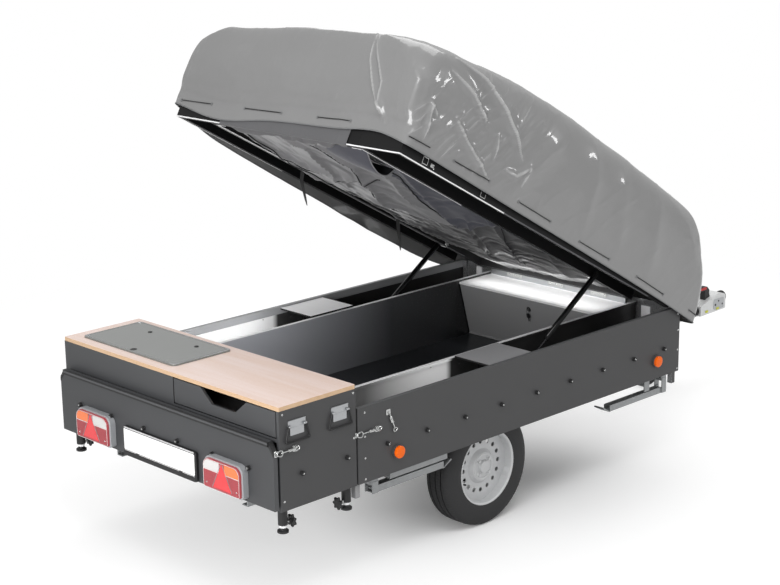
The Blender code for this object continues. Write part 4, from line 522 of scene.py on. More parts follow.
def ring(u0, u1, right, left, r_right, r_left):
    """A rounded outline's points (u, y): rear from left to right, right side, front, left side."""
    rear, corner, side_right, front, side_left = COUNTS
    quarter = [(math.cos(a), math.sin(a)) for a in (math.pi / 2 * k / corner for k in range(corner))]
    y_left, y_right = left - r_left, -(right - r_right)
    out = []
    for k in range(rear):
        t = k / rear
        t = 1.45 * t - 0.45 * t * t  # closer together towards the right
        out.append((u1, y_left - (y_left - y_right) * t))
    out += [(u1 - r_right + r_right * c, y_right - r_right * d) for c, d in quarter]
    for k in range(side_right):
        t = k / side_right
        t = 0.62 * t + 0.38 * t * t  # closer together towards the rear, where the creases are
        out.append((u1 - r_right - (u1 - u0 - 2 * r_right) * t, -right))
    out += [(u0 + r_right - r_right * d, y_right - r_right * c) for c, d in quarter]
    out += [(u0, y_right + (left + right - 2 * r_right) * k / front) for k in range(front)]
    out += [(u0 + r_right - r_right * c, left - r_right + r_right * d) for c, d in quarter]
    out += [(u0 + r_right + (u1 - u0 - r_right - r_left) * k / side_left, left) for k in range(side_left)]
    out += [(u1 - r_left + r_left * d, y_left + r_left * c) for c, d in quarter]
    return np.array(out)


# Heights in lid coordinates; the folds are (points, half width, height, sharpness).
HEM_V = [(-0.26, -0.034), (0.0, -0.022), (0.7, -0.004), (1.37, 0.006), (1.91, 0.015), (2.24, 0.020)]
HEM_LEFT = [(-0.26, -0.030), (0.2, -0.085), (0.55, -0.085), (0.86, -0.076), (1.29, -0.062), (1.73, -0.046),
            (1.95, -0.030), (2.08, -0.008), (2.24, 0.014)]
SHOULDER_V = [(-0.12, 0.30), (0.05, 0.362), (0.35, 0.415), (0.8, 0.435), (1.4, 0.440), (2.0, 0.395),
              (2.3, 0.335)]
CREST_V = [(-0.08, 0.478), (0.0, 0.508), (0.1, 0.524), (0.4, 0.542), (0.8, 0.556), (1.1, 0.566), (1.4, 0.568),
           (1.9, 0.532), (2.1, 0.510), (2.28, 0.482)]
REAR_HEM = [(-0.8, 0.017), (-0.63, 0.050), (-0.34, 0.037), (0.09, 0.022), (0.47, -0.012), (0.8, 0.035)]
COUNTS = (150, 24, 380, 52, 110)  # points on the rear, each corner, right side, front, left side
RIGHT_FOLDS = [
    ([(2.335, 0.408), (2.268, 0.371), (2.251, 0.297), (2.251, 0.159), (2.298, 0.08)], 0.018, 0.010, 1.6),
    ([(2.09, 0.407), (1.933, 0.36), (1.831, 0.299), (1.793, 0.284)], 0.020, 0.014, 1.5),
    ([(2.043, 0.478), (1.882, 0.444), (1.732, 0.382), (1.605, 0.306), (1.49, 0.224)], 0.022, 0.018, 1.4),
    ([(2.17, 0.231), (2.151, 0.169), (2.132, 0.076)], 0.018, 0.012, 1.5),
    ([(2.17, 0.231), (2.10, 0.190)], 0.016, 0.010, 1.5),
    ([(1.982, 0.227), (1.913, 0.184), (1.806, 0.132), (1.657, 0.065)], 0.020, 0.012, 1.5),
    ([(1.691, 0.262), (1.671, 0.155)], 0.014, 0.008, 1.5),
    ([(1.582, 0.145), (1.498, 0.145), (1.429, 0.204), (1.445, 0.113)], 0.016, 0.009, 1.5),
    ([(1.24, 0.461), (1.399, 0.215), (1.482, 0.056)], 0.060, 0.016, 1.8),
    ([(1.018, 0.495), (0.937, 0.325), (0.901, 0.07)], 0.050, 0.012, 1.6),
    ([(0.749, 0.463), (0.596, 0.109)], 0.055, 0.010, 1.8),
    ([(0.40, 0.44), (0.30, 0.05)], 0.060, 0.010, 1.8),
    ([(0.258, 0.465), (0.107, 0.399), (-0.082, 0.226)], 0.045, 0.008, 1.6),
    ([(1.75, 0.44), (1.60, 0.36), (1.50, 0.29)], 0.05, 0.012, 1.6),
]
REAR_FOLDS = [
    ([(-0.429, 0.486), (-0.468, 0.358), (-0.574, 0.18), (-0.614, 0.10)], 0.010, 0.015, 1.2),
    ([(-0.429, 0.486), (-0.53, 0.34), (-0.585, 0.26), (-0.590, 0.17), (-0.640, 0.09)], 0.010, 0.014, 1.2),
    ([(0.40, 0.36), (0.393, 0.26), (0.44, 0.16)], 0.045, 0.009, 1.6),
    ([(0.66, 0.40), (0.72, 0.26), (0.76, 0.10)], 0.03, 0.008, 1.5),
    ([(0.05, 0.30), (0.10, 0.08)], 0.05, 0.005, 1.8),
    ([(-0.30, 0.22), (-0.38, 0.05)], 0.035, 0.006, 1.6),
]


def crest_at(u, y):
    """The crest is lower at its rear left corner."""
    rear = np.clip((u - 1.5) / 0.75, 0, 1) ** 2
    left = np.clip((y + 0.2) / 0.8, 0, 1)
    return spline(u, CREST_V) - 0.048 * rear * left


SHOULDER = 0.62  # share of the rows' way from the hem to the crest
COVER_LEVELS = [  # share, u front, u rear, half right, half left, radius right, radius left
    (0.00, -0.250, 2.2185, 0.797, 0.819, 0.045, 0.018),
    (0.08, -0.245, 2.2185, 0.800, 0.819, 0.048, 0.019),
    (0.15, -0.240, 2.2200, 0.803, 0.815, 0.052, 0.020),
    (0.23, -0.232, 2.2420, 0.805, 0.799, 0.060, 0.022),
    (0.40, -0.215, 2.262, 0.806, 0.779, 0.078, 0.028),
    (SHOULDER, -0.170, 2.266, 0.796, 0.748, 0.105, 0.036),
    (0.80, -0.125, 2.262, 0.745, 0.663, 0.150, 0.050),
    (1.00, -0.060, 2.246, 0.625, 0.600, 0.195, 0.070),
]


def cover_points(rows_side=92, rows_top=14):
    """Rows of (u, y, v) from the hem up to the crest and on to the middle line."""
    table = np.array(COVER_LEVELS)
    rows = []
    for k in range(rows_side + 1):
        share = k / rows_side
        loop = ring(*(float(spline(np.array([share]), list(zip(table[:, 0], column)))[0])
                      for column in table[:, 1:].T))
        u, y = loop[:, 0], loop[:, 1]
        blend = np.clip(0.5 - y / 0.9, 0, 1)
        blend = blend * blend * (3 - 2 * blend)
        hem = spline(u, HEM_LEFT) * (1 - blend) + spline(u, HEM_V) * blend
        shoulder = spline(u, SHOULDER_V)
        tail = np.clip((u - 2.08) / 0.14, 0, 1)
        hem = hem * (1 - tail) + spline(y, REAR_HEM) * tail
        if share < SHOULDER:
            v = hem + (shoulder - hem) * (share / SHOULDER)
        else:
            t = (share - SHOULDER) / (1 - SHOULDER)
            v = shoulder + (crest_at(u, y) - shoulder) * np.sin(t * math.pi / 2) ** 0.92
        rows.append(np.stack([u, y, v], 1))
    u0, u1, right, left, r_right, r_left = COVER_LEVELS[-1][1:]
    for k in range(1, rows_top + 1):
        t = k / rows_top
        grow = left * t * 0.985
        loop = ring(u0 + grow, u1 - grow, right - grow, left - grow, max(0.002, r_right * (1 - t)),
                    max(0.002, r_left * (1 - t)))
        u, y = loop[:, 0], loop[:, 1]
        v = crest_at(u, y) + 0.024 * (1 - (1 - t) ** 2)
        rows.append(np.stack([u, y, v], 1))
    return rows


def grid_faces(rows, count, closed=True):
    faces = []
    for r in range(rows - 1):
        for c in range(count if closed else count - 1):
            d = (c + 1) % count
            faces.append((r * count + c, r * count + d, (r + 1) * count + d, (r + 1) * count + c))
    return faces


def normals_of(points, faces):
    n = np.zeros_like(points)
    f = np.array(faces)
    a, b, c, d = (points[f[:, i]] for i in range(4))
    fn = np.cross(c - a, d - b)
    for i in range(4):
        np.add.at(n, f[:, i], fn)
    return n / np.maximum(np.linalg.norm(n, axis=1, keepdims=True), 1e-9)


def lid_array(uyv):
    """Lid coordinates to the row frame, as arrays."""
    u, y, v = uyv[:, 0], uyv[:, 1], uyv[:, 2]
    c, s = math.cos(LID), math.sin(LID)
    return np.stack([HX - u * c + v * s - CX, y, HZ + u * s + v * c], 1)


def cover():
    """The coated cloth: a smooth form, then creases, puffs and a slack left skirt along its normals."""
    rows = cover_points()
    count = len(rows[0])
    pts = np.concatenate(rows)
    faces = grid_faces(len(rows), count)
    n = normals_of(pts, faces)
    if n[count * 10, 0] < 0:
        n = -n
    u, y, v = pts[:, 0], pts[:, 1], pts[:, 2]
    rise = v - np.where(y < 0, spline(u, HEM_V), spline(u, HEM_LEFT))
    calm = np.clip(rise / 0.05, 0, 1)
    side, end = (np.clip(np.abs(n[:, axis]) * 1.5 - 0.3, 0, 1) for axis in (1, 0))
    right = y < 0
    sharp = [(line, w * 0.75, h * 1.7, p) if w < 0.03 else (line, w, h, p) for line, w, h, p in RIGHT_FOLDS]
    d = folds(u, v, sharp) * side * right
    d += folds(2.2 - u, v, RIGHT_FOLDS) * side * (y > 0) * 0.6
    d += folds(y, v, REAR_FOLDS) * end * (u > 1.1)
    d += folds(-y, v, REAR_FOLDS) * end * (u < 1.1) * 0.8
    d += 0.010 * fbm(pts, (2.2, 2.2, 2.6), 2, 3.1) * np.clip(rise / 0.12, 0, 1)
    skew = np.stack([u + 0.7 * v, y, v - 0.2 * u], 1)
    zone = np.exp(-((u - 1.85) / 0.42) ** 2) * right + 0.22
    for height, scale, seed in ((0.0060, (4.2, 3.0, 1.6), 5.3), (0.0026, (10.0, 6.0, 3.2), 9.7)):
        d += height * (ridged(skew, scale, seed) ** 2 - 0.2) * zone * side
    d += 0.0022 * ridged(pts, (6.0, 6.0, 2.0), 2.2) * (1 - side)
    d *= calm
    loose = np.clip(1 - rise / 0.16, 0, 1) * side * (y > 0) * np.clip((2.0 - u) / 0.5, 0, 1)
    slack = 0.010 * (ridged(skew, (3.4, 3.0, 2.2), 7.1) - 0.5)
    d += loose * (slack + 0.010 * fbm(pts, (5.0, 2.0, 5.0), 2, 8.8))
    held = end * (u > 1.1) * np.clip(1.2 - rise / 0.12, 0, 1)  # the rear hem keeps outside the beam
    d += held * np.maximum(-0.0003 - d, 0)
    pts = pts + n * d[:, None]
    bm = new()
    vs = [bm.verts.new(p) for p in lid_array(pts)]
    for f in faces:
        bm.faces.new([vs[i] for i in f])
    bm.faces.new(vs[-count:])
    o = thing("cover_cloth", bm, "pvc pvc_back", "lid", angle=180)
    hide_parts("cover")
    trims = cover_trims(pts, n, count)


# The cord's visible stitches: from and to, as (u, v) on the right side and (y, v) on the rear.
DASHES_SIDE = [((1.899, 0.061), (1.647, 0.062)), ((1.407, 0.048), (1.153, 0.044)),
               ((0.893, 0.032), (0.636, 0.031)), ((0.374, 0.025), (0.119, 0.016)),
               ((-0.146, 0.012), (-0.225, 0.006))]
DASHES_REAR = [((0.765, 0.052), (0.54, 0.056)), ((0.29, 0.060), (0.039, 0.066)),
               ((-0.213, 0.072), (-0.424, 0.078))]
CORNER_ROW, CORNER_POINTS = 6, range(162, 204, 6)


def cover_trims(pts, n, count):
    """The welt along the hem, and the black cord that runs in and out of the eyelets above it."""
    bm = new()
    pipe(bm, lid_array(pts[:count])[::2], 0.0030, 6, 0, True)
    welt = thing("cover_welt", bm, "pvc_back", "lid", angle=60)
    bm = new()
    out = lid_array(pts + n * 0.0016)
    high = lid_array(pts + n * 0.0046)
    eyelet = [(0, 0.0075), (0.0018, 0.0070), (0.0022, 0.0050), (0.0010, 0.0034)]

    def run(a, b, axis, mask, side):
        ids = np.where(mask)[0]
        line = []
        for k in range(13):
            t = k / 12
            p, q = a[0] + (b[0] - a[0]) * t, a[1] + (b[1] - a[1]) * t
            gap = (pts[ids, axis] - p) ** 2 + (pts[ids, 2] - q) ** 2
            share = np.exp(-gap / 0.00012)
            near = (out[ids] * share[:, None]).sum(0) / share.sum()
            lift = (high[ids] * share[:, None]).sum(0) / share.sum()
            line.append(Vector(near if k in (0, 12) else (near + lift) / 2))
        pipe(bm, smooth_line(line, 2), 0.0024, 6, 0)
        for end, inner in ((line[0], line[1]), (line[12], line[11])):
            start = end + (end - inner).normalized() * 0.002
            lathe(bm, start, start + side * 0.01, eyelet, 16, 1)
    for a, b in DASHES_SIDE:
        run(a, b, 0, pts[:, 1] < -0.70, Vector((0, -1, 0)))
    for a, b in DASHES_REAR:
        run(a, b, 1, pts[:, 0] > 2.19, Vector((-math.cos(LID), 0, math.sin(LID))))
    row = CORNER_ROW * count
    corner = [(Vector(out[row + k]) + Vector(high[row + k])) / 2 for k in CORNER_POINTS]
    pipe(bm, smooth_line(corner, 3), 0.0024, 6, 0)
    return [welt, thing("cover_cords", bm, "black pvc_back", "lid", angle=60)]


# Tent

BELLY = [(-0.5, 1.08), (-0.3, 1.13), (-0.1, 1.20), (0.05, 1.30), (0.2, 1.42), (0.5, 1.58)]
TENT_FOLDS = [
    ([(2.15, 0.42), (1.88, 0.39), (1.76, 0.26), (1.70, 0.05), (1.72, -0.20)], 0.020, -0.026, 1.2),
    ([(2.17, 0.13), (2.02, 0.02), (1.77, 0.07), (1.46, 0.17)], 0.018, -0.024, 1.2),
    ([(2.12, -0.05), (1.86, -0.16), (1.62, -0.08), (1.42, 0.01), (1.34, -0.05)], 0.020, -0.030, 1.2),
    ([(1.99, -0.30), (1.80, -0.32), (1.55, -0.24), (1.38, -0.22)], 0.024, -0.026, 1.3),
    ([(1.86, -0.44), (1.60, -0.38), (1.30, -0.30), (1.16, -0.30)], 0.022, -0.022, 1.3),
    ([(1.95, 0.47), (1.60, 0.40), (1.30, 0.30), (1.00, 0.30)], 0.024, -0.020, 1.3),
    ([(1.28, -0.40), (1.02, -0.28), (0.75, -0.14), (0.50, -0.02)], 0.014, -0.026, 1.2),
    ([(1.20, -0.30), (0.95, -0.19), (0.66, -0.04), (0.44, 0.06)], 0.012, -0.022, 1.2),
    ([(1.22, -0.47), (0.90, -0.36), (0.60, -0.20), (0.40, -0.10)], 0.014, -0.020, 1.2),
    ([(1.10, 0.30), (0.80, 0.18), (0.45, 0.16)], 0.026, -0.018, 1.3),
    ([(1.00, 0.46), (0.70, 0.40), (0.35, 0.34)], 0.026, -0.018, 1.3),
    ([(0.70, -0.46), (0.40, -0.34), (0.15, -0.26)], 0.024, -0.016, 1.3),
    ([(0.50, 0.30), (0.20, 0.14)], 0.024, -0.014, 1.3),
]


TENT_SEAMS = [
    [(2.12, -0.03), (1.86, -0.14), (1.62, -0.06), (1.44, 0.03), (1.33, 0.02)],
    [(2.14, 0.40), (1.88, 0.37), (1.75, 0.24), (1.69, 0.05), (1.71, -0.20)],
    [(1.98, -0.36), (1.75, -0.36), (1.50, -0.29), (1.17, -0.27)],
    [(1.78, 0.46), (1.50, 0.30), (1.36, 0.18)],
    [(1.05, -0.44), (0.70, -0.26), (0.42, -0.12)],
    [(1.00, 0.44), (0.60, 0.30), (0.30, 0.24)],
]
TENT_HALF = 0.503


def tent_low(u, y):
    """Height of the tent's underside: a sag, a belly that ends at a lip, and folds."""
    across = np.clip(1 - (y / TENT_HALF) ** 2, 0, 1)
    along = np.sin(np.clip((2.165 - u) / 2.1, 0, 1) * math.pi)
    v = 0.02 - 0.075 * across ** 0.6 * (0.35 + 0.65 * along)
    past = u - spline(y, BELLY)
    lip = np.clip(past / 0.035, 0, 1)
    v -= 0.034 * lip * lip * (3 - 2 * lip) * np.exp(-np.clip(past - 0.03, 0, 9) / 0.34) * across ** 0.5
    v += folds(u, y, TENT_FOLDS)
    skew = np.stack([u * 0.8 + y * 0.9, y - u * 0.35, u * 0], 1)
    v += 0.010 * fbm(skew, (2.0, 6.0, 1.0), 3, 1.7) + 0.007 * (ridged(skew, (3.0, 9.0, 1.0), 4.4) - 0.4)
    rough = np.exp(-((u - 0.88) / 0.22) ** 2 - ((y - 0.08) / 0.16) ** 2)
    v += 0.006 * rough * fbm(skew, (22.0, 26.0, 1.0), 2, 6.2)
    edge = np.clip((TENT_HALF - np.abs(y)) / 0.05, 0, 1)
    return v * edge + 0.012 * (1 - edge)


def tent():
    """The folded tent: its underside sags and folds between the beams."""
    nu, ny = 250, 124
    us = np.linspace(2.165, 0.06, nu)
    ys = np.linspace(-TENT_HALF, TENT_HALF, ny)
    uu, yy = np.meshgrid(us, ys, indexing="ij")
    u, y = uu.ravel(), yy.ravel()
    pts = np.stack([u, y, tent_low(u, y)], 1)
    low = lid_array(pts)
    top = pts.copy()
    top[:, 2] = spline(u, CREST_V) * 0.80
    high = lid_array(top)
    bm = new()
    a = [bm.verts.new(p) for p in low]
    b = [bm.verts.new(p) for p in high]

    def at(i, j):
        return i * ny + j
    lip = spline(y, BELLY)
    # Painted shade: shade is the cloth ahead of the belly's lip, deep the cloth towards the hinge and along
    # the near side; blue is the cloth's own blue panel.
    blue = (y < -0.29 - 0.10 * np.clip((u - 1.5) / 0.5, 0, 1)) & (u > lip + 0.02) & (u < 1.98)
    shade = u < lip
    deep = (u < 0.62 + 0.10 * np.sin(y * 9)) | ((y < -0.24 - 0.25 * np.clip(0.9 - u, 0, 1)) & (u < 0.9))
    for i in range(nu - 1):
        for j in range(ny - 1):
            k = at(i, j)
            bm.faces.new((a[k], a[at(i, j + 1)], a[at(i + 1, j + 1)], a[at(i + 1, j)])).material_index = \
                3 if deep[k] else 2 if blue[k] else 1 if shade[k] else 0
            bm.faces.new((b[k], b[at(i + 1, j)], b[at(i + 1, j + 1)], b[at(i, j + 1)]))
    edge_ring = ([at(i, 0) for i in range(nu)] + [at(nu - 1, j) for j in range(1, ny)]
                 + [at(i, ny - 1) for i in range(nu - 2, -1, -1)] + [at(0, j) for j in range(ny - 2, 0, -1)])
    for p, q in zip(edge_ring, edge_ring[1:] + edge_ring[:1]):
        bm.faces.new((a[p], b[p], b[q], a[q]))
    o = thing("tent_folded", bm, "tent tent_shade tent_dark tent_deep", "lid", angle=60)
    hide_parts("tent_pack")
    bm = new()
    for line in TENT_SEAMS:
        way = smooth_line([(p, q, 0) for p, q in line], 14)
        heights = tent_low(np.array([w.x for w in way]), np.array([w.y for w in way]))
        pipe(bm, [L(w.x, w.y, h - 0.0036) for w, h in zip(way, heights)], 0.0030, 6)
    thing("tent_seams", bm, "seam", "lid", angle=60)


SPILL_IN = [(-0.50, 2.205), (-0.308, 2.178), (-0.141, 2.156), (-0.005, 2.176), (0.122, 2.182), (0.263, 2.140),
            (0.365, 2.196), (0.50, 2.208)]
SPILL_OUT = 2.2122  # u of the loose end behind the beam, under the cover's hem


def tent_spill():
    """The loose end of the tent that wraps the rear beam, gathered towards the right."""
    n, m = 220, 30
    verts = []
    ys = np.linspace(0.44, -0.44, n)
    ins = spline(ys, SPILL_IN)
    for y, last in zip(ys, ins):
        gather = max(0.0, min(1.0, (0.10 - y) / 0.12)) * max(0.0, min(1.0, (y + 0.44) / 0.06))
        wave = abs(math.sin(y * 30 + 2.2 * math.sin(y * 11)))
        last += gather * (0.014 * math.sin(y * 47) + 0.012 * noise.noise(Vector((y * 15, 3.3, 0))))
        for j in range(m):
            a = j / (m - 1)
            soft = noise.noise(Vector((y * 6, a * 2.2, 2)))
            crease = gather * (1 - wave ** 0.5) * math.sin(math.pi * min(1, a * 1.2))
            if a < 0.5:
                t = a / 0.5
                u = SPILL_OUT - 0.0002 + 0.0010 * math.sin(math.pi * t) - 0.0006 * crease + 0.0004 * soft
                v = 0.046 - 0.0765 * t
            else:
                t = (a - 0.5) / 0.5
                u = SPILL_OUT + (last - SPILL_OUT) * t
                inside = min(1.0, max(0.0, (2.204 - u) / 0.02))
                sag = -0.016 * math.sin(math.pi * min(1, t * 0.9))
                v = -0.0305 + inside * (sag + 0.014 * crease + 0.004 * soft)
            verts.append(L(float(u), float(y), float(v)))
    bm = new()
    paste(bm, verts, grid_faces(n, m, closed=False))
    o = thing("tent_end", bm, "tent_end", "lid", angle=180)
    s = o.modifiers.new("sheet", "SOLIDIFY")
    s.thickness = 0.0012
    s.offset = 1.0


def tent_mouth():
    """The fold of the tent that gapes beside the right beam; its inside is painted near black in the seam
    tape's material, as shade.
    """
    rim = [(2.100, -0.012), (2.066, -0.040), (2.020, -0.066), (1.974, -0.076), (1.930, -0.064),
           (1.898, -0.024)]
    line = [(p.x, p.y) for p in smooth_line([(a, b, 0) for a, b in rim], 7)]
    mu, mv = 1.998, -0.012
    outside = ((-0.462, 1.0), (-0.458, 1.03), (-0.44, 1.02), (-0.40, 0.97), (-0.34, 0.88), (-0.27, 0.70),
               (-0.20, 0.42))
    inside = ((-0.462, 1.0), (-0.455, 0.94), (-0.40, 0.90), (-0.33, 0.72), (-0.30, 0.10))
    bm = new()
    # The inner shell gets the seam tape's near black as painted shade.
    shells = [[[bm.verts.new(L(mu + (a - mu) * f + (y + 0.46) * 0.30, y, mv + (b - mv) * f)) for a, b in line]
               for y, f in depths] for depths in (outside, inside)]
    for index, rings in enumerate(shells):
        for one, two in zip(rings, rings[1:]):
            for k in range(len(line) - 1):
                bm.faces.new((one[k], one[k + 1], two[k + 1], two[k])).material_index = index
    pipe(bm, [L(a, -0.463, b) for a, b in line], 0.0030, 8, 2)
    thing("tent_mouth", bm, "tent_dark seam tent", "lid", angle=70)


PIN_U, PIN_Y = 0.3763, 0.5495  # the struts' pins under the lid


def lid_trims():
    """Edge profiles, white at the rear and painted dim as shade towards the hinge, catches, and the struts'
    brackets and sleeves under the lid.
    """
    bm = new()
    low, high = -0.0292, -0.0235
    for g in (-1, 1):
        for y0, y1, u1 in ((0.7716, 0.7747, 2.2106), (0.5038, 0.5066, 2.1690)):
            # Up to u 1.45 the profiles are painted dim as shade; behind that they are white.
            block(bm, (0.200, g * y0, low), (1.45, g * y1, high), 1, L)
            block(bm, (1.45, g * y0, low), (u1, g * y1, high), 0, L)
        block(bm, (2.2080, g * 0.440, low), (2.2108, g * 0.7716, high), 0, L)
        block(bm, (2.1690, g * 0.440, low), (2.1716, g * 0.5038, high), 0, L)
    thing("lid_edges", bm, "edge_white trim_dim", "lid", smooth=False)
    bm = new()
    for g in (-1, 1):
        for u in (2.050, 1.628):
            square = box_line(u - 0.017, u + 0.017, -0.014, 0.016)
            for (a, b), (c, d) in zip(square, square[1:] + square[:1]):
                bar(bm, L(a, g * 0.7768, b), L(c, g * 0.7768, d), 0.0024, 8)
            block(bm, (u - 0.006, g * 0.7740, 0.012), (u + 0.006, g * 0.7775, 0.022), 0, L)
        u = 2.000
        block(bm, (u - 0.013, g * 0.7740, -0.012), (u + 0.010, g * 0.7768, 0.004), 0, L)
        for du, dv in ((-0.008, -0.006), (0.004, 0.000), (-0.016, -0.012)):
            rivet(bm, L(u + du, g * 0.7760, dv), (0, g, 0), 0.0042, 0.0028)
        for y1, v1 in ((0.5040, 0.016), (0.5300, -0.0275)):
            block(bm, (PIN_U - 0.014, g * 0.5010, -0.031), (PIN_U + 0.014, g * y1, v1), 0, L)
        for dv in (-0.018, 0.004):
            rivet(bm, L(PIN_U, g * 0.5010, dv), (0, -g, 0), 0.0058, 0.0035)
    thing("lid_catches", bm, "chrome", "lid", angle=40)
    sleeve = [(0, 0.0090), (0.002, 0.0120), (0.006, 0.0134), (0.424, 0.0134), (0.4275, 0.0122),
              (0.4300, 0.0114)]
    for s, g in SIDES[::-1]:
        top, foot = L(PIN_U, g * PIN_Y, -0.0041), W(STRUT_FOOT_X, g * PIN_Y, 0.591)
        bm = new()
        lathe(bm, top + (foot - top).normalized() * 0.030, foot, sleeve, 28, cap=False)
        thing("strut_sleeve_" + s, bm, "gloss_black", "strut_tube_" + s, angle=40)
    straps()


def straps():
    """Two webbing straps that hang from the far beam, each with half a twist and a narrow tip."""
    for name, run in (("rear",
                       [(1.616, 0.012), (1.596, -0.050), (1.580, -0.090), (1.540, -0.135), (1.492, -0.186)]),
                      ("front",
                       [(0.876, 0.030), (0.846, -0.033), (0.815, -0.080), (0.782, -0.125), (0.750, -0.172)])):
        bm = new()
        line = smooth_line([L(u, 0.455, v) for u, v in run], 6)
        k = len(line) - 1
        wide = Vector((0.55, -0.45, 0.15)).normalized()
        rings = []
        for i, p in enumerate(line):
            d = (line[min(i + 1, k)] - line[max(i - 1, 0)]).normalized()
            a = (wide - d * wide.dot(d)).normalized()
            a = Matrix.Rotation(math.radians(70) * (i / k), 3, d) @ a
            b = d.cross(a)
            w = 0.0095 * (1 if i < k - 3 else 0.35 + 0.2 * (k - i))
            rings.append([bm.verts.new(p + a * (w * x) + b * (0.0009 * z))
                          for x, z in ((-1, -1), (1, -1), (1, 1), (-1, 1))])
        bridge(bm, rings)
        strap = thing("tent_strap_" + name, bm, "strap", "lid", angle=60)


def hinge_details():
    """The hinge line's bright leaves and screws, and the posts in the front box."""
    bm = new()
    for y in (0.300, -0.300, 0.0):
        plate(bm, round_rect(y - 0.055, y + 0.055, 0.812, 0.838, 0.004, 3), rear_place(2.6712), 0.0018)
        for dy in (-0.038, 0.0, 0.038):
            rivet(bm, W(2.6695, y + dy, 0.825), (-1, 0, 0), 0.0048, 0.0024)
    for x0, x1, y0, y1, z0, z1 in ((2.6692, 2.6712, -0.474, 0.474, 0.8405, 0.8450),
                                   (2.6692, 2.6712, -0.474, 0.474, 0.8010, 0.8040),
                                   (2.7360, 2.7400, 0.613, 0.652, 0.600, 0.806),
                                   (2.7360, 2.7400, -0.594, -0.537, 0.600, 0.792)):
        block(bm, (x0, y0, z0), (x1, y1, z1), 1)
    thing("hinge_leaves", bm, "chrome edge_white", "chassis", angle=40)
    bm = new()
    for g in (-1, 1):
        for x in (0.58, 1.27):
            rivet(bm, W(x, g * 0.60, 0.8115), (0, 0, 1), 0.004, 0.0012)
    for x, y in ((1.397, 0.693), (1.437, 0.688), (1.698, 0.520), (1.16, 0.693), (1.16, 0.52)):
        for g in (-1, 1):
            rivet(bm, W(x, g * y, 0.8003), (0, 0, 1), 0.0042, 0.0014)
    thing("bridge_screws", bm, "black", "chassis", angle=40)


def box_lock():
    """The box door's lock: a rosette, the cylinder and the key with its tag."""
    top, foot = W(2.42, -0.012, 0.80), W(2.50, -0.012, 0.48)  # the door's slope
    down = (foot - top).normalized()
    out = Vector((-abs(down.z), 0, -down.x))
    side = Vector((0, 1, 0))
    p = top + down * 0.070
    key = p + out * 0.0098
    tag = key + out * 0.004 + down * 0.020

    def hung(u, v, c):
        return tag + down * v + side * u + out * c
    bm = new()
    lathe(bm, p + out * 0.0004, p + out * 0.03,
          [(0, 0.0150), (0.0025, 0.0150), (0.0035, 0.0135), (0.0036, 0.0110), (0.0070, 0.0105),
           (0.0078, 0.0090), (0.0080, 0.001)], 32)
    lathe(bm, p + out * 0.0074, p + out * 0.03,
          [(0, 0.0080), (0.0022, 0.0080), (0.0028, 0.0068), (0.0029, 0.001)], 24, 1)
    plate(bm, [(-0.0045, 0.0), (0.0045, 0.0), (0.0040, 0.008), (-0.0040, 0.008)],
          lambda u, v, c: key + out * v + down * u + side * (c - 0.0009), 0.0018, 1)
    loop = [key + out * 0.006 + down * z + side * x for x, z in
            ((0, -0.006), (0.006, 0), (0.007, 0.012), (0.004, 0.024), (-0.004, 0.024), (-0.007, 0.012),
             (-0.006, 0))]
    pipe(bm, smooth_line(loop, 4, True), 0.0009, 6, 1, True)
    plate(bm, round_rect(-0.0105, 0.0105, 0.0, 0.026, 0.006, 5), hung, 0.0026)
    plate(bm, [(-0.0038, 0.026), (0.0038, 0.026), (0.0036, 0.046), (0.0, 0.050), (-0.0036, 0.044)],
          hung, 0.0020, 1)
    thing("box_lock", bm, "black chrome", "box_door", angle=40)


# Floor, light and camera

LAMPS = (  # name, place, target, size, watts; the last three are strips inside the front box and the lockers
    ("key", (-3.0, -3.5, 6.5), (0, 0, 0.8), (3.0, 2.0), 95),
    ("top", (1.5, 1.5, 6.0), (0, 0, 0.8), (5.0, 4.0), 110),
    ("side", (4.9, -5.7, 3.2), (0.2, -0.8, 1.6), (0.8, 1.8), 48),
    ("low", (-5.0, -1.4, 1.7), (0.6, 0.1, 1.1), (2.4, 1.2), 80),
    ("box", (0.395, 0.0, 0.930), (0.52, 0.0, 0.80), (0.90, 0.05), 1.3),
    ("far_locker", (-1.22, 0.525, 0.800), (-1.22, 0.7645, 0.730), (0.80, 0.03), 1.25),
    ("near_locker", (-1.16, -0.735, 0.800), (-1.16, -0.502, 0.680), (0.84, 0.03), 0.45),
)
WHITE = (1, 1, 1, 1)


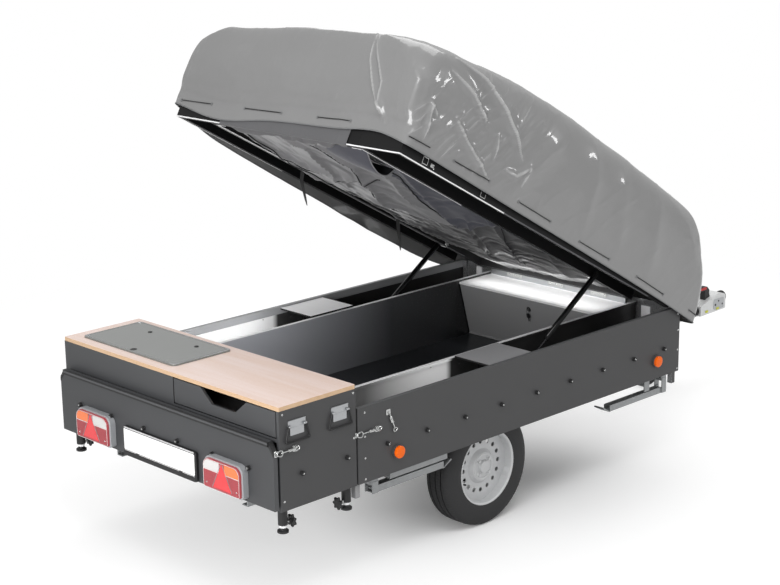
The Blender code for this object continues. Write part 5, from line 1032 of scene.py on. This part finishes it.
def set_stage():
    """A pale floor that fades to white, a soft world, and the lamps."""
    world = bpy.context.scene.world or bpy.data.worlds.new("world")
    bpy.context.scene.world = world
    world.use_nodes = True
    g = Graph(world.node_tree)
    g.nodes.clear()
    up = g.add("SeparateXYZ", {0: g.add("TexCoord").outputs["Generated"]}).outputs["Z"]
    lit = g.add("Background", {"Strength": 0.60, "Color": g.span(up, -0.2, 0.9, 0.65, 1.25)})
    seen = g.add("Background", {"Strength": 1.0, "Color": WHITE})
    g.show("World", lit, seen)

    mesh = bpy.data.meshes.new("floor_sheet")
    r = 40.0
    mesh.from_pydata([(-r, -r, 0), (r, -r, 0), (r, r, 0), (-r, r, 0)], [], [(0, 1, 2, 3)])
    floor = bpy.data.objects.new("floor_sheet", mesh)
    bpy.context.scene.collection.objects.link(floor)
    m = bpy.data.materials.new("floor_sheet")
    m.use_nodes = True
    g = Graph(m.node_tree)
    g.nodes.clear()
    plain = g.add("BsdfDiffuse", {"Color": (0.80, 0.80, 0.80, 1)})
    grain = g.add("TexNoise", {"Scale": 3.0}).outputs["Fac"]
    bright = g.add("BsdfDiffuse", {"Color": g.span(grain, 0.0, 1.0, FLOOR_GAIN * 0.995, FLOOR_GAIN * 1.005)})
    white = g.add("Emission", {"Color": WHITE})
    here = g.here()
    away = g.add("VectorMath", {0: here}, operation="LENGTH").outputs["Value"]
    near = g.add("VectorMath", {0: here, 1: (-0.35, -0.62, 0)}, operation="DISTANCE").outputs["Value"]
    far = g.span(away, 2.6, 4.6, interpolation_type="SMOOTHSTEP")
    # soft lets the floor glow half white away from the wheel: painted light that lightens the cast shadows
    # there, while the wheel's contact shadow stays dark.
    soft = g.span(near, 0.25, 1.15, 0.0, 0.50, interpolation_type="SMOOTHSTEP")
    fade = g.add("MixShader",
                 {"Fac": g.math("MAXIMUM", far, soft), 1: bright.outputs[0], 2: white.outputs[0]})
    g.show("Material", plain, fade)
    mesh.materials.append(m)

    for name, place, target, size, power in LAMPS:
        lamp = bpy.data.lights.new(name, "AREA")
        lamp.shape = "RECTANGLE"
        lamp.size, lamp.size_y = size
        lamp.energy = power
        o = bpy.data.objects.new(name, lamp)
        bpy.context.scene.collection.objects.link(o)
        o.location = place
        o.rotation_mode = "QUATERNION"
        o.rotation_quaternion = (Vector(target) - Vector(place)).to_track_quat("-Z", "Y")
        o.visible_camera = False
    bpy.context.scene.view_settings.view_transform = "Standard"


def camera():
    """The photo's camera, solved from the body's straight edges."""
    yaw, pitch, roll = math.radians(45.843), math.radians(14.838), math.radians(-0.7947)
    f = Vector((math.cos(yaw) * math.cos(pitch), math.sin(yaw) * math.cos(pitch), -math.sin(pitch)))
    r = f.cross(Vector((0, 0, 1))).normalized()
    up = r.cross(f)
    c, s = math.cos(roll), math.sin(roll)
    r2, u2 = c * r + s * up, -s * r + c * up
    cam = bpy.data.cameras.new("camera")
    cam.sensor_width = 36
    cam.lens = 81.33
    cam.shift_y = 0.00268
    cam.clip_start, cam.clip_end = 0.1, 200
    o = bpy.data.objects.new("camera", cam)
    bpy.context.scene.collection.objects.link(o)
    place = Vector((-4.4864 - CX, -6.0674, 3.2530))
    m = Matrix((r2, u2, -f)).transposed().to_4x4()
    o.matrix_world = Matrix.Translation(place) @ m
    bpy.context.scene.camera = o


# CAD nodes with better materials

def finish_node(name, keys, pick=None, bevel=0.0015):
    """Materials for a CAD node; pick(centre, normal) gives the index for a face."""
    o = NODES[name]
    o.data.materials.clear()
    for key in keys.split():
        o.data.materials.append(M[key])
    for p in o.data.polygons:
        p.material_index = int(pick(p.center, p.normal)) if pick else 0
    if bevel:
        w = o.modifiers.new("weld", "WELD")
        w.merge_threshold = 0.00002
        add_bevel(o, bevel, 2, 40)


PLAIN_NODES = (  # names (%s: left and right), material, bevel
    ("chassis_rail_%s sill_rear_%s sill_front_%s cross_member_rear cross_member_middle", "zinc", 0.0015),
    ("drawbar_%s", "zinc", 0.003),
    ("steady_rear_%s steady_front_%s jockey_tube jockey_leg jockey_fork", "zinc", 0.001),
    ("lid_side_%s", "black_metal", 0.0012),
    ("lid_front_beam lid_rear_beam", "black_metal", 0.0015),
    ("axle", "black_metal", 0.002),
    ("strut_tube_%s", "black_metal", 0),
    ("strut_rod_%s", "rod", 0),
    ("rim_%s", "wheel", 0.0012),
    ("tyre_%s", "tyre", 0),
    ("floor", "well_floor", 0.0015),
    ("bulkhead", "bulkhead", 0.0015),
    ("front_box_top", "box_top", 0.0015),
    ("hob_tray", "steel", 0.001),
    ("hob_lid", "glass", 0.0012),
    ("drawer", "rear", 0.0015),
    ("hinge_rail", "alu", 0.001),
)


def panel_pick(c, n):
    """Side panel: 2 marker lamp, 0 outer face, 1 lip, 4 the locker's inside with its painted reflection."""
    if abs(c.y) > HALF + 0.0085:
        return 2
    if abs(c.y) > HALF + 0.0005:
        return 0
    if n.z > 0.9 and c.z > 0.82 or (n.y * c.y < 0 and c.z > 0.785):
        return 1
    return 4 if n.y * c.y < 0 else 0


def carcass_pick(c, n):
    """Kitchen: 2 outer sides, 1 the dark inside and underside, 0 the rest."""
    if abs(n.y) > 0.9 and abs(c.y) > 0.77:
        return 2
    inside = 0.002 < c.x + CX < 0.43 and abs(c.y) < 0.757 and 0.49 < c.z < 0.92
    return c.z < 0.474 or inside and abs(n.z) < 0.9 and n.x >= -0.5


def head_pick(c, n):
    """Coupling head: 1 the black handle's foot."""
    return c.z > 0.515 or (c.z > 0.47 and abs(c.y) < 0.019 and c.x < 4.085 - CX)


def dress_nodes():
    for names, key, width in PLAIN_NODES:
        for name in names.split():
            for one in [name % s for s, g in SIDES] if "%" in name else [name]:
                finish_node(one, key, bevel=width)
    for s, g in SIDES:
        near = s == "right"
        # The far lip and the far bridge plate are painted lighter as lit, the near bridge plate darker as
        # shade.
        finish_node("side_panel_" + s,
                    "side %s orange black sheet_outer" % ("lip" if near else "lip_far"), panel_pick)
        # The partitions' faces carry the well board's and the locker sheet's painted reflections.
        finish_node("partition_" + s, "well sheet_inner edge_white",
                    lambda c, n: 2 if n.z > 0.9 and c.z > 0.79 else n.y * g > 0.5, 0.001)
        finish_node("wheel_box_" + s, "black_metal " + ("bridge_near_painted_shade" if near else "bridge_far_painted_lit"),
                    lambda c, n: n.z > 0.9 and c.z > 0.775, 0.002)
        for e in ("rear", "front"):
            finish_node("leg_%s_%s" % (e, s), "black_metal edge_white",
                        lambda c, n: 0.391 < c.z < 0.4055, 0.0)
    finish_node("rear_wall", "bulkhead lip", lambda c, n: n.z > 0.9)
    finish_node("front_wall", "side bright", lambda c, n: n.x < -0.5)
    finish_node("coupling_head", "coupling black", head_pick, 0.002)
    hub = Vector((1.5704, 0.1, 0.1))
    finish_node("jockey_wheel", "rubber wheel",
                lambda c, n: (c - hub).cross(Vector((0, 1, 0))).length < 0.056, 0.001)
    finish_node("kitchen_carcass", "rear black kitchen_side", carcass_pick)
    finish_node("worktop", "beech beech_edge", lambda c, n: n.z <= 0.9)
    finish_node("tailgate", "rear black", lambda c, n: c.z > 0.771 and c.x + CX < -0.029)


# Small parts on the body

def knob(bm, at, way, r=0.0105, h=0.015):
    """A black turn knob with a bright screw in its middle."""
    a = Vector(at)
    d = Vector(way)
    lathe(bm, a, a + d * h, [(0, r * 1.12), (0.002, r * 1.12), (0.003, r * 0.96), (h - 0.003, r),
                             (h - 0.001, r * 0.93), (h, r * 0.72), (h - 0.0015, r * 0.5)], 20, 0)
    lathe(bm, a, a + d * h, [(h - 0.002, r * 0.42), (h + 0.0006, r * 0.40), (h + 0.0016, r * 0.22)], 14, 1)


def knobs():
    for s, g in SIDES:
        bm = new()
        places = [(0.624 + 0.25 * k, 0.624) for k in range(9)] + [(0.119, 0.623), (0.381, 0.623)]
        for x, z in places:
            knob(bm, W(x, g * HALF, z), (0, g, 0))
        thing("knobs_" + s, bm, "black chrome", "chassis", angle=40)
    bm = new()
    for y in (-0.615, -0.369, -0.123, 0.123, 0.369, 0.615):
        knob(bm, W(-0.0345, y, 0.647), (-1, 0, 0))
    thing("tailgate_knobs", bm, "black chrome", "tailgate", angle=40)


def rivet(bm, at, way, r=0.0055, h=0.0028, index=0):
    a, d = Vector(at), Vector(way).normalized()
    profile = [(0, r), (0.0008, r), (h * 0.65, r * 0.86), (h, r * 0.5), (h + 0.0003, r * 0.1)]
    lathe(bm, a - d * 0.0005, a + d * h, profile, 12, index)


def rivets():
    """The panels' rivets and the marker lamps' lenses."""
    for s, g in SIDES:
        bm = new()
        for x, z in ((0.490, 0.800), (0.490, 0.690), (0.490, 0.590), (0.490, 0.492), (2.741, 0.790),
                     (2.744, 0.700), (2.744, 0.594), (2.744, 0.492), (0.424, 0.905), (0.424, 0.70),
                     (0.020, 0.905), (0.020, 0.52)):
            rivet(bm, W(x, g * HALF, z), (0, g, 0))
        for x in (0.687, 2.563):
            lathe(bm, W(x, g * 0.7920, 0.571), W(x, g * 0.80, 0.571),
                  [(0, 0.0285), (0.0018, 0.0285), (0.0032, 0.0262), (0.0040, 0.0215), (0.0034, 0.0205),
                   (0.0046, 0.012), (0.0050, 0.002)], 40, 1)
        thing("rivets_" + s, bm, "chrome orange", "chassis", angle=30)


def bails():
    """Carrying bails on the kitchen's sides: two plates and a round black bail each."""
    half_bail = ((0.050, 0.8455), (0.0555, 0.822), (0.0640, 0.790), (0.0655, 0.781), (0.0600, 0.776),
                 (0.040, 0.775))
    for s, g in SIDES:
        bm = new()
        at = side_place(g)
        out = HALF + 0.009
        for x in (0.0960, 0.3405):
            plate(bm, round_rect(x - 0.0490, x + 0.0490, 0.838, 0.868, 0.003, 3), at, 0.0030)
            plate(bm, round_rect(x - 0.0385, x + 0.0385, 0.804, 0.839, 0.003, 3), at, 0.0042)
            plate(bm, box_line(x - 0.0485, x + 0.0485, 0.8665, 0.8705), at, 0.0052)
            for way in (-1, 1):
                bar(bm, W(x + way * 0.034, g * out, 0.8455), W(x + way * 0.050, g * out, 0.8455), 0.0052, 14)
                rivet(bm, W(x + way * 0.020, g * (HALF + 0.004), 0.836), (0, g, 0), 0.0032, 0.0018)
            low = [(x - a, b) for a, b in half_bail] + [(x, 0.775)] + [(x + a, b) for a, b in half_bail[::-1]]
            pipe(bm, smooth_line([W(a, g * out, b) for a, b in low], 5), 0.0046, 10, 1)
        thing("bails_" + s, bm, "alu black", "chassis", angle=40)


def wire_ring(bm, pts, g, y):
    """A closed ring of zinc wire through pairs (x, z)."""
    pipe(bm, smooth_line([W(a, g * y, b) for a, b in pts], 5, True), 0.0028, 8, 0, True)


def spring(bm, start, axis, cross, g, steps):
    """A coil spring 34 mm long."""
    line = []
    for k in range(steps + 1):
        a = k * 0.7
        line.append(start + axis * (0.034 * k / steps) + cross * (0.0052 * math.sin(a))
                    + Vector((0, g, 0)) * (0.0046 * math.cos(a)))
    pipe(bm, line, 0.0019, 6)


def latches():
    """Toggle latches of zinc wire; the hooks sit on the piece they hold."""
    for s, g in SIDES:
        y = HALF + 0.0075
        at = side_place(g)

        def peg(x, z, lift0, lift1, r):
            bar(bm, W(x, g * (HALF + lift0), z), W(x, g * (HALF + lift1), z), r, 14)
        bm = new()
        for x0, x1, z, eye in ((-0.004, 0.102, 0.744, (-0.018, -0.014, 0.004, 0.012)),
                               (0.462, 0.581, 0.710, (-0.026, -0.022, -0.004, 0.006))):
            a, b, c, d = (x0 + e for e in eye)
            wire_ring(bm, [(a, z), (b, z + 0.008), (c, z + 0.013), (d, z), (c, z - 0.013), (b, z - 0.008)],
                      g, y + 0.003)
            bar(bm, W(x0 + 0.004, g * (y + 0.001), z), W(x0 + 0.050, g * (y + 0.001), z), 0.0030, 12)
            spring(bm, W(x0 + 0.046, g * (y + 0.0005), z), Vector((1, 0, 0)), Vector((0, 0, 1)), g, 90)
            bar(bm, W(x0 + 0.046, g * (y + 0.0005), z), W(x0 + 0.082, g * (y + 0.0005), z), 0.0030, 12)
            wire_ring(bm, [(x1 - 0.018, z + 0.0095), (x1 - 0.004, z + 0.007), (x1, z),
                           (x1 - 0.004, z - 0.007), (x1 - 0.018, z - 0.0095), (x1 - 0.024, z)], g, y + 0.002)
            plate(bm, round_rect(x1 - 0.032, x1 - 0.006, z - 0.014, z + 0.014, 0.005, 4), at, 0.0030)
            for way in (-1, 1):
                rivet(bm, W(x1 - 0.018, g * (HALF + 0.003), z + way * 0.0085), (0, g, 0), 0.003, 0.002)
        plate(bm, round_rect(0.428, 0.4405, 0.698, 0.722, 0.004, 4), at, 0.0030)
        peg(0.4345, 0.710, 0.001, 0.0085, 0.0045)
        top, low = (0.631, 0.768), (0.664, 0.690)
        plate(bm, round_rect(top[0] - 0.014, top[0] + 0.012, top[1] - 0.012, top[1] + 0.014, 0.005, 4),
              at, 0.0030)
        peg(*top, 0.002, 0.010, 0.0042)
        bar(bm, W(top[0], g * y, top[1]), W(low[0], g * y, low[1]), 0.0028, 12)
        axis = Vector((low[0] - top[0], 0, low[1] - top[1])).normalized()
        spring(bm, W(top[0], g * y, top[1]) + axis * 0.020, axis, Vector((-axis.z, 0, axis.x)), g, 100)
        wire_ring(bm, [(0.664, 0.690), (0.656, 0.682), (0.657, 0.676), (0.666, 0.673), (0.676, 0.678),
                       (0.677, 0.685)],
                  g, y + 0.0015)
        thing("latches_" + s, bm, "chrome", "chassis", angle=40)
        bm = new()
        plate(bm, round_rect(-0.0325, -0.0145, 0.730, 0.758, 0.005, 4), at, 0.0030)
        peg(-0.0235, 0.744, 0.002, 0.0062, 0.0040)
        for way in (-1, 1):
            rivet(bm, W(-0.0235, g * (HALF + 0.003), 0.744 + way * 0.010), (0, g, 0), 0.0028, 0.0018)
        thing("latch_hooks_" + s, bm, "chrome", "tailgate", angle=40)


def tailgate_trim():
    """The board's top edge: a black profile with a pale line, and the corners' brackets."""
    bm = new()
    for z0, z1, index in ((0.7890, 0.7938, 0), (0.7800, 0.7886, 1), (0.7716, 0.7796, 0)):
        plate(bm, box_line(-0.7435, 0.7435, z0, z1), rear_place(-0.0405), 0.0008, index)
    for g in (-1, 1):
        plate(bm, [(g * y, z) for y, z in ((0.7747, 0.7300), (0.7747, 0.7487), (0.7448, 0.7937),
                                           (0.7180, 0.7700), (0.7440, 0.7700))], rear_place(-0.0345), 0.0012)
        plate(bm, [(g * y, z)
                   for y, z in ((0.7747, 0.7487), (0.7448, 0.7937), (0.7435, 0.7930), (0.7730, 0.7480))],
              rear_place(-0.0125), 0.0226)
    thing("tailgate_lip", bm, "black rear", "tailgate", smooth=False)


BOARD_X = -0.0348  # the tailgate's outer face
PLATE_HALF = 0.2675  # half the width of the number plate's holder
LAMP_SHARE = 0.4093  # where a lamp's middle lies between the holder's end and the body's side


def lamps():
    """Rear lamps: a pale rim and the lens in four fields, seen from behind."""
    for s, g in SIDES:
        mid = PLATE_HALF + LAMP_SHARE * (HALF - PLATE_HALF)
        y0, y1, z0, z1 = mid - 0.130, mid + 0.130, 0.502, 0.652
        bm = new()

        def at(a, b, c):
            return W(BOARD_X - c, g * a, b)

        def on_lens(a, b, c):
            return at(a, b, 0.0436 + c)
        rim = round_rect(y0, y1, z0, z1, (0.014, 0.014, 0.042, 0.042), 8)
        eased = [(a * 0.985 + mid * 0.015, b * 0.985 + 0.577 * 0.015) for a, b in rim]
        lens = round_rect(y0 + 0.0075, y1 - 0.0075, z0 + 0.0075, z1 - 0.0075, (0.009, 0.009, 0.036, 0.036), 8)
        top = round_rect(y0 + 0.0105, y1 - 0.0105, z0 + 0.0105, z1 - 0.0105, (0.008, 0.008, 0.034, 0.034), 8)
        rings = [[bm.verts.new(at(a, b, c)) for a, b in outline] for outline, c in
                 ((rim, 0.0), (rim, 0.029), (eased, 0.032), (lens, 0.032), (lens, 0.0395), (top, 0.0435))]
        bridge(bm, rings[:4], 0, caps=False)
        bridge(bm, rings[3:], 1, caps=False)
        bm.faces.new(rings[0][::-1]).material_index = 0
        bm.faces.new(rings[-1]).material_index = 1
        cut_y, low, high = mid + 0.006, z0 + 0.094, z1 - 0.0125
        arc = [(0.0345 * math.cos(math.radians(t)), 0.0345 * math.sin(math.radians(t)))
               for t in range(0, 91, 10)]
        outer_top = [(cut_y + 0.0180, low), (y1 - 0.0125, low), (y1 - 0.0125, z1 - 0.046)] + \
            [(y1 - 0.0470 + c, z1 - 0.0470 + d) for c, d in arc[1:]] + [(cut_y + 0.0180, high)]
        inner_top = [(cut_y - 0.0180, low), (cut_y - 0.0180, high)] + \
            [(y0 + 0.0470 - d, z1 - 0.0470 + c) for c, d in arc] + [(y0 + 0.0125, low)]
        plate(bm, outer_top, on_lens, 0.0009, 2)
        plate(bm, inner_top, on_lens, 0.0009, 3)
        tri = [(cut_y - 0.062, z0 + 0.020), (cut_y, z1 - 0.014), (cut_y + 0.062, z0 + 0.020)]
        plate(bm,
              [(cut_y - 0.0165, low), (cut_y - 0.0165, high), (cut_y + 0.0165, high), (cut_y + 0.0165, low)],
              on_lens, 0.0006, 1)
        plate(bm, tri, on_lens, 0.0015, 4)
        for way, foot in ((-1, tri[0]), (1, tri[2])):
            ends = [on_lens(foot[0] + way * 0.004, foot[1], 0.0010),
                    on_lens(tri[1][0] + way * 0.003, tri[1][1] + 0.004, 0.0010)]
            pipe(bm, ends[::-way], 0.0011, 6)
        plate(bm, box_line(y0 + 0.0125, y1 - 0.0125, low - 0.0035, low - 0.0010), on_lens, 0.0010, 5)
        for k in range(12):
            z = z0 + 0.016 + 0.0062 * k
            plate(bm, box_line(y0 + 0.014, y1 - 0.014, z, z + 0.0030), on_lens, 0.0006, 1)
        pipe(bm, [on_lens(a, b, 0.0004) for a, b in top], 0.0009, 6, 5, True)
        for a in (y0 + 0.030, y1 - 0.030):
            rivet(bm, on_lens(a, z0 + 0.032, 0.0), (-1, 0, 0), 0.0042, 0.0022, 6)
        o = thing("lamp_body_" + s, bm, "lamp_rim red amber clear deep_red lamp_line chrome", "tailgate",
                  smooth=False)
        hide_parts("rear_lamp_" + s)


def plate_holder():
    """The blank number plate in its black holder."""
    half, z0, z1 = PLATE_HALF, 0.490, 0.630
    bm = new()
    outer = round_rect(-half, half, z0, z1, 0.012, 5)
    inner = round_rect(-half + 0.006, half - 0.006, z0 + 0.006, z1 - 0.005, 0.009, 5)
    at = rear_place(BOARD_X)
    bridge(bm, [[bm.verts.new(at(a, b, c)) for a, b in line]
                for line, c in ((outer, 0), (outer, 0.013), (inner, 0.0165))])
    plate(bm, round_rect(-half + 0.009, half - 0.009, z0 + 0.030, z1 - 0.010, 0.006, 4),
          rear_place(BOARD_X - 0.0165), 0.0010, 1)
    for z, h in ((z1 - 0.0065, 0.0022), (z1 - 0.0025, 0.0018), (z0 + 0.0255, 0.0020)):
        plate(bm, box_line(-half + 0.012, half - 0.012, z, z + h), rear_place(BOARD_X - 0.0150), 0.0022, 1)
    plate(bm, round_rect(-half + 0.004, half - 0.004, z0 + 0.002, z0 + 0.022, 0.006, 4),
          rear_place(BOARD_X - 0.0140), 0.0040)
    for a in (-0.16, 0.16):
        plate(bm, round_rect(a - 0.012, a + 0.012, z0 + 0.020, z0 + 0.028, 0.002, 2),
              rear_place(BOARD_X - 0.0150), 0.0036)
    o = thing("plate_and_holder", bm, "black plate", "tailgate", smooth=False, bevel=0.0005)
    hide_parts("number_plate")


def star_knobs():
    """Clamp knobs beside the telescopic legs."""
    lobes = []
    for a in turn(84):
        r = 0.0262 + 0.0044 * math.cos(7 * a)
        lobes.append((r * math.cos(a), r * math.sin(a)))
    for s, g in SIDES:
        y, z = g * 0.740, 0.4095
        bm = new()
        for x, way in ((0.035, 1), (0.402, -1)):
            def at(d):
                return W(x + way * d, y, z)
            lathe(bm, W(x, y, 0.4745), W(x, y, 0.40), [(0, 0.0212), (0.0695, 0.0212), (0.0700, 0.0180)],
                  28, cap=False)
            bar(bm, at(0.0155), at(0.026), 0.0080, 6, 1)
            bar(bm, at(0.024), at(0.046), 0.0042, 12, 1)
            lathe(bm, at(0.034), at(0.05), [(0, 0.0085), (0.006, 0.0105), (0.0145, 0.0120)], 20)
            bridge(bm, [[bm.verts.new(W(x + way * d, y + a * f, z + b * f)) for a, b in lobes] for d, f in
                        ((0.0430, 0.80), (0.0455, 0.96), (0.0490, 1.0), (0.0545, 0.96), (0.0565, 0.82),
                         (0.0572, 0.45))])
        thing("leg_knobs_" + s, bm, "black chrome", "chassis", angle=45)
        for e, x in (("rear", 0.035), ("front", 0.402)):
            bm = new()
            lathe(bm, W(x, y, 0.3705), W(x, y, 0.40),
                  [(0, 0.0235), (0.0, 0.0248), (0.0026, 0.0254), (0.0085, 0.0252), (0.0108, 0.0215),
                   (0.0140, 0.0165), (0.0185, 0.0148)], 32, cap=False)
            thing("foot_cap_%s_%s" % (e, s), bm, "black", "leg_%s_%s" % (e, s), angle=35)


HOB_Y, BURNER_Y = 0.355, 0.1897  # the hob's middle, and the burners' distance from it


def kitchen_front():
    """The hob lid's trims, knobs and hinge caps, and the burners, supports and taps under it."""
    bm = new()
    top = SHUT_TOP
    x0, x1, y0, y1 = 0.057, 0.395, 0.005, 0.705
    for inset, w, h in ((0.0035, 0.0024, 0.0007), (0.0085, 0.0012, 0.0005)):
        both = inset + w
        outer = round_rect(x0 + inset, x1 - inset, y0 + inset, y1 - inset, 0.022 - inset, 8)
        inner = round_rect(x0 + both, x1 - both, y0 + both, y1 - both, 0.022 - both, 8)
        bridge(bm, [[bm.verts.new(W(a, b, top + z)) for a, b in line] for line, z in
                    ((outer, -0.0002), (outer, h), (inner, h), (inner, -0.0002))], closed=True)
    corner = ((0.012, 0.003), (0.040, 0.003), (0.040, 0.012), (0.021, 0.014), (0.014, 0.021), (0.012, 0.040),
              (0.003, 0.040), (0.003, 0.012))
    for cx, cy, sx, sy in ((x0, y0, 1, 1), (x0, y1, 1, -1), (x1, y0, -1, 1), (x1, y1, -1, -1)):
        plate(bm, [(cx + sx * a, cy + sy * b) for a, b in corner], lambda a, b, c: W(a, b, top + c), 0.0012)

    def upright(x, y, z, profile, sides, index):
        lathe(bm, W(x, y, z), W(x, y, z + 0.02), profile, sides, index)
    upright(0.086, 0.341, top - 0.001, [(0, 0.0160), (0.0016, 0.0160), (0.0022, 0.0146), (0.0016, 0.0122),
                                        (0.0012, 0.001)], 36, 1)
    for y in (0.516, 0.163):
        upright(0.312, y, top - 0.001,
                [(0, 0.0105), (0.0028, 0.0105), (0.0040, 0.0085), (0.0042, 0.001)], 28, 1)
    thing("hob_lid_trim", bm, "alu black", "hob_lid", angle=30)
    bm = new()
    x, low = 0.226, 0.909
    for y in (HOB_Y - BURNER_Y, HOB_Y + BURNER_Y):
        upright(x, y, low,
                [(0, 0.0305), (0.003, 0.0315), (0.0032, 0.027), (0.0052, 0.0245), (0.006, 0.001)], 40, 1)
        upright(x, y, low - 0.010, [(0, 0.0460), (0.0035, 0.0470), (0.0036, 0.0400)], 40, 0)

        def around(r, degrees, z):
            return W(x + r * math.cos(math.radians(degrees)), y + r * math.sin(math.radians(degrees)), z)
        for k in range(4):
            p, q, e = (around(r, 45 + 90 * k, z) for r, z in ((0.108, 0.887), (0.108, 0.924), (0.050, 0.926)))
            line = [p, p + Vector((0, 0, 0.02)), q, (q + e) / 2 + Vector((0, 0, 0.0015)), e]
            pipe(bm, smooth_line(line, 4), 0.0026, 8, 1)
        pipe(bm, [around(0.108, t, 0.8885) for t in range(0, 360, 10)], 0.0026, 8, 1, True)
    for y in (0.325, 0.385):
        upright(0.352, y, 0.884,
                [(0, 0.0150), (0.004, 0.0155), (0.016, 0.0130), (0.0175, 0.0110), (0.0178, 0.001)], 28, 1)
    thing("hob_fittings", bm, "steel black", "chassis", angle=35)


TYRE_OUT, TYRE_IN = 0.700, 0.545
TYRE_HALF = (  # (in from the outer side, radius), from the bead over the wall to the tread's middle
    (0.0100, 0.1783), (0.0060, 0.1865), (0.0020, 0.1960), (0.0002, 0.2150), (0.0006, 0.2390),
    (0.0045, 0.2600), (0.0110, 0.2745), (0.0185, 0.2832), (0.0280, 0.2868), (0.0400, 0.2875),
    (0.0405, 0.2815), (0.0455, 0.2815), (0.0460, 0.2879), (0.0745, 0.2880), (0.0750, 0.2815))


def wheels():
    """The tyres with grooves, and each rim's edge, bolts, cap and valve."""
    for s, g in SIDES:
        c = Vector((WHEEL_X, 0, AXLE_Z))
        way = Vector((0, g, 0))

        def at(y, r, a):
            return c + Vector((r * math.cos(a), g * y, r * math.sin(a)))

        def hoop(profile, sides, closed=False):
            bridge(bm, [[bm.verts.new(at(y, r, t)) for t in turn(sides)] for y, r in profile], 0,
                   closed, False)
        bm = new()
        half = [(TYRE_OUT - d, r) for d, r in TYRE_HALF]
        hoop(half + [(TYRE_OUT + TYRE_IN - y, r) for y, r in reversed(half)], 52, True)
        o = thing("tyre_tread_" + s, bm, "tyre_tread", "wheel_" + s, angle=40)
        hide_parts("tyre_" + s)
        bm = new()
        hoop([(0.6898, 0.1725), (0.6930, 0.1745), (0.6952, 0.1790), (0.6945, 0.1838), (0.6915, 0.1852),
              (0.6900, 0.1815)], 72)
        hoop([(0.6640, 0.0655), (0.6668, 0.0640), (0.6668, 0.0565), (0.6640, 0.0550)], 48)
        for k in range(4):
            p = at(0.6640, 0.0485, math.radians(45 + 90 * k))
            lathe(bm, p, p + way * 0.02, [(0, 0.0125), (0.002, 0.0120), (0.0035, 0.0098)], 24)
            lathe(bm, p + way * 0.0030, p + way * 0.02,
                  [(0, 0.0092), (0.0095, 0.0092), (0.0108, 0.0080), (0.0110, 0.001)], 6)
        lathe(bm, at(0.6640, 0, 0), at(0.70, 0, 0), [(0, 0.0335), (0.0035, 0.0332), (0.0062, 0.0308),
                                                     (0.0110, 0.0304), (0.0148, 0.0275), (0.0164, 0.020),
                                                     (0.0168, 0.001)], 40)
        a = math.radians(200)
        lathe(bm, at(0.6500, 0.1560, a), at(0.6860, 0.1500, a),
              [(0, 0.0058), (0.012, 0.0050), (0.020, 0.0036), (0.022, 0.0042), (0.034, 0.0042),
               (0.036, 0.003)], 14, 1)
        thing("wheel_fittings_" + s, bm, "wheel black", "wheel_" + s, angle=40)


def coupling():
    """The cast head's look: socket holes, the arched handle with its insert, and the gaiter."""
    bm = new()
    plate(bm, round_rect(4.090, 4.194, 0.400, 0.466, (0.012, 0.010, 0.010, 0.012)),
          lambda a, b, c: W(a, -0.0462 - c, b), 0.0016)
    for x, z, r in ((4.108, 0.430, 0.007), (4.140, 0.450, 0.0055), (4.178, 0.425, 0.0055)):
        lathe(bm, W(x, -0.0460, z), W(x, -0.052, z),
              [(0, r), (0.0026, r), (0.0030, r * 0.8), (0.0022, r * 0.1)], 18, 1)
    path = [(4.086, 0.452), (4.080, 0.486), (4.066, 0.514), (4.040, 0.534), (4.000, 0.546), (3.955, 0.549),
            (3.918, 0.545)]
    line = smooth_line([W(a, 0, b) for a, b in path], 6)
    last = len(line) - 1
    side = Vector((0, 1, 0))

    def squared(x):
        return math.copysign(abs(x) ** 0.6, x)
    rings = []
    for i, p in enumerate(line):
        d = (line[min(i + 1, last)] - line[max(i - 1, 0)]).normalized()
        up = d.cross(side)
        t = i / last
        w, h = 0.020 - 0.004 * t, 0.0125 - 0.003 * t
        rings.append([bm.verts.new(p + side * (w * squared(math.cos(a))) + up * (h * squared(math.sin(a))))
                      for a in turn(20)])
    bridge(bm, rings, 1)
    block(bm, (3.985, -0.0205, 0.5330), (4.050, 0.0205, 0.5475), 2)
    lathe(bm, W(4.205, 0, 0.455), W(4.2452, 0, 0.455),
          [(0, 0.030), (0.012, 0.034), (0.030, 0.034), (0.0375, 0.028), (0.0400, 0.012)], 28, 3)
    for x, y in ((4.020, -0.0472), (4.130, -0.0482)):
        plate(bm, round_rect(x - 0.014, x + 0.014, 0.398, 0.412, 0.003, 3),
              lambda a, b, c: W(a, y - c, b), 0.0012, 4)
    for k in range(7):
        x = 3.955 - 0.0085 * k
        lathe(bm, W(x, 0, 0.418), W(x - 0.0085, 0, 0.418),
              [(0, 0.0330), (0.0020, 0.0405), (0.0055, 0.0405), (0.0085, 0.0330)], 28, 3)
    thing("coupling_details", bm, "alu black grip_red rubber yellow", "chassis", angle=40)


for make in (make_materials, camera, set_stage, dress_nodes, cover, tent, tent_spill, tent_mouth, lid_trims,
             hinge_details, box_lock, knobs, rivets, bails, latches, tailgate_trim, lamps,
             plate_holder, star_knobs, kitchen_front, wheels, coupling):
    make()
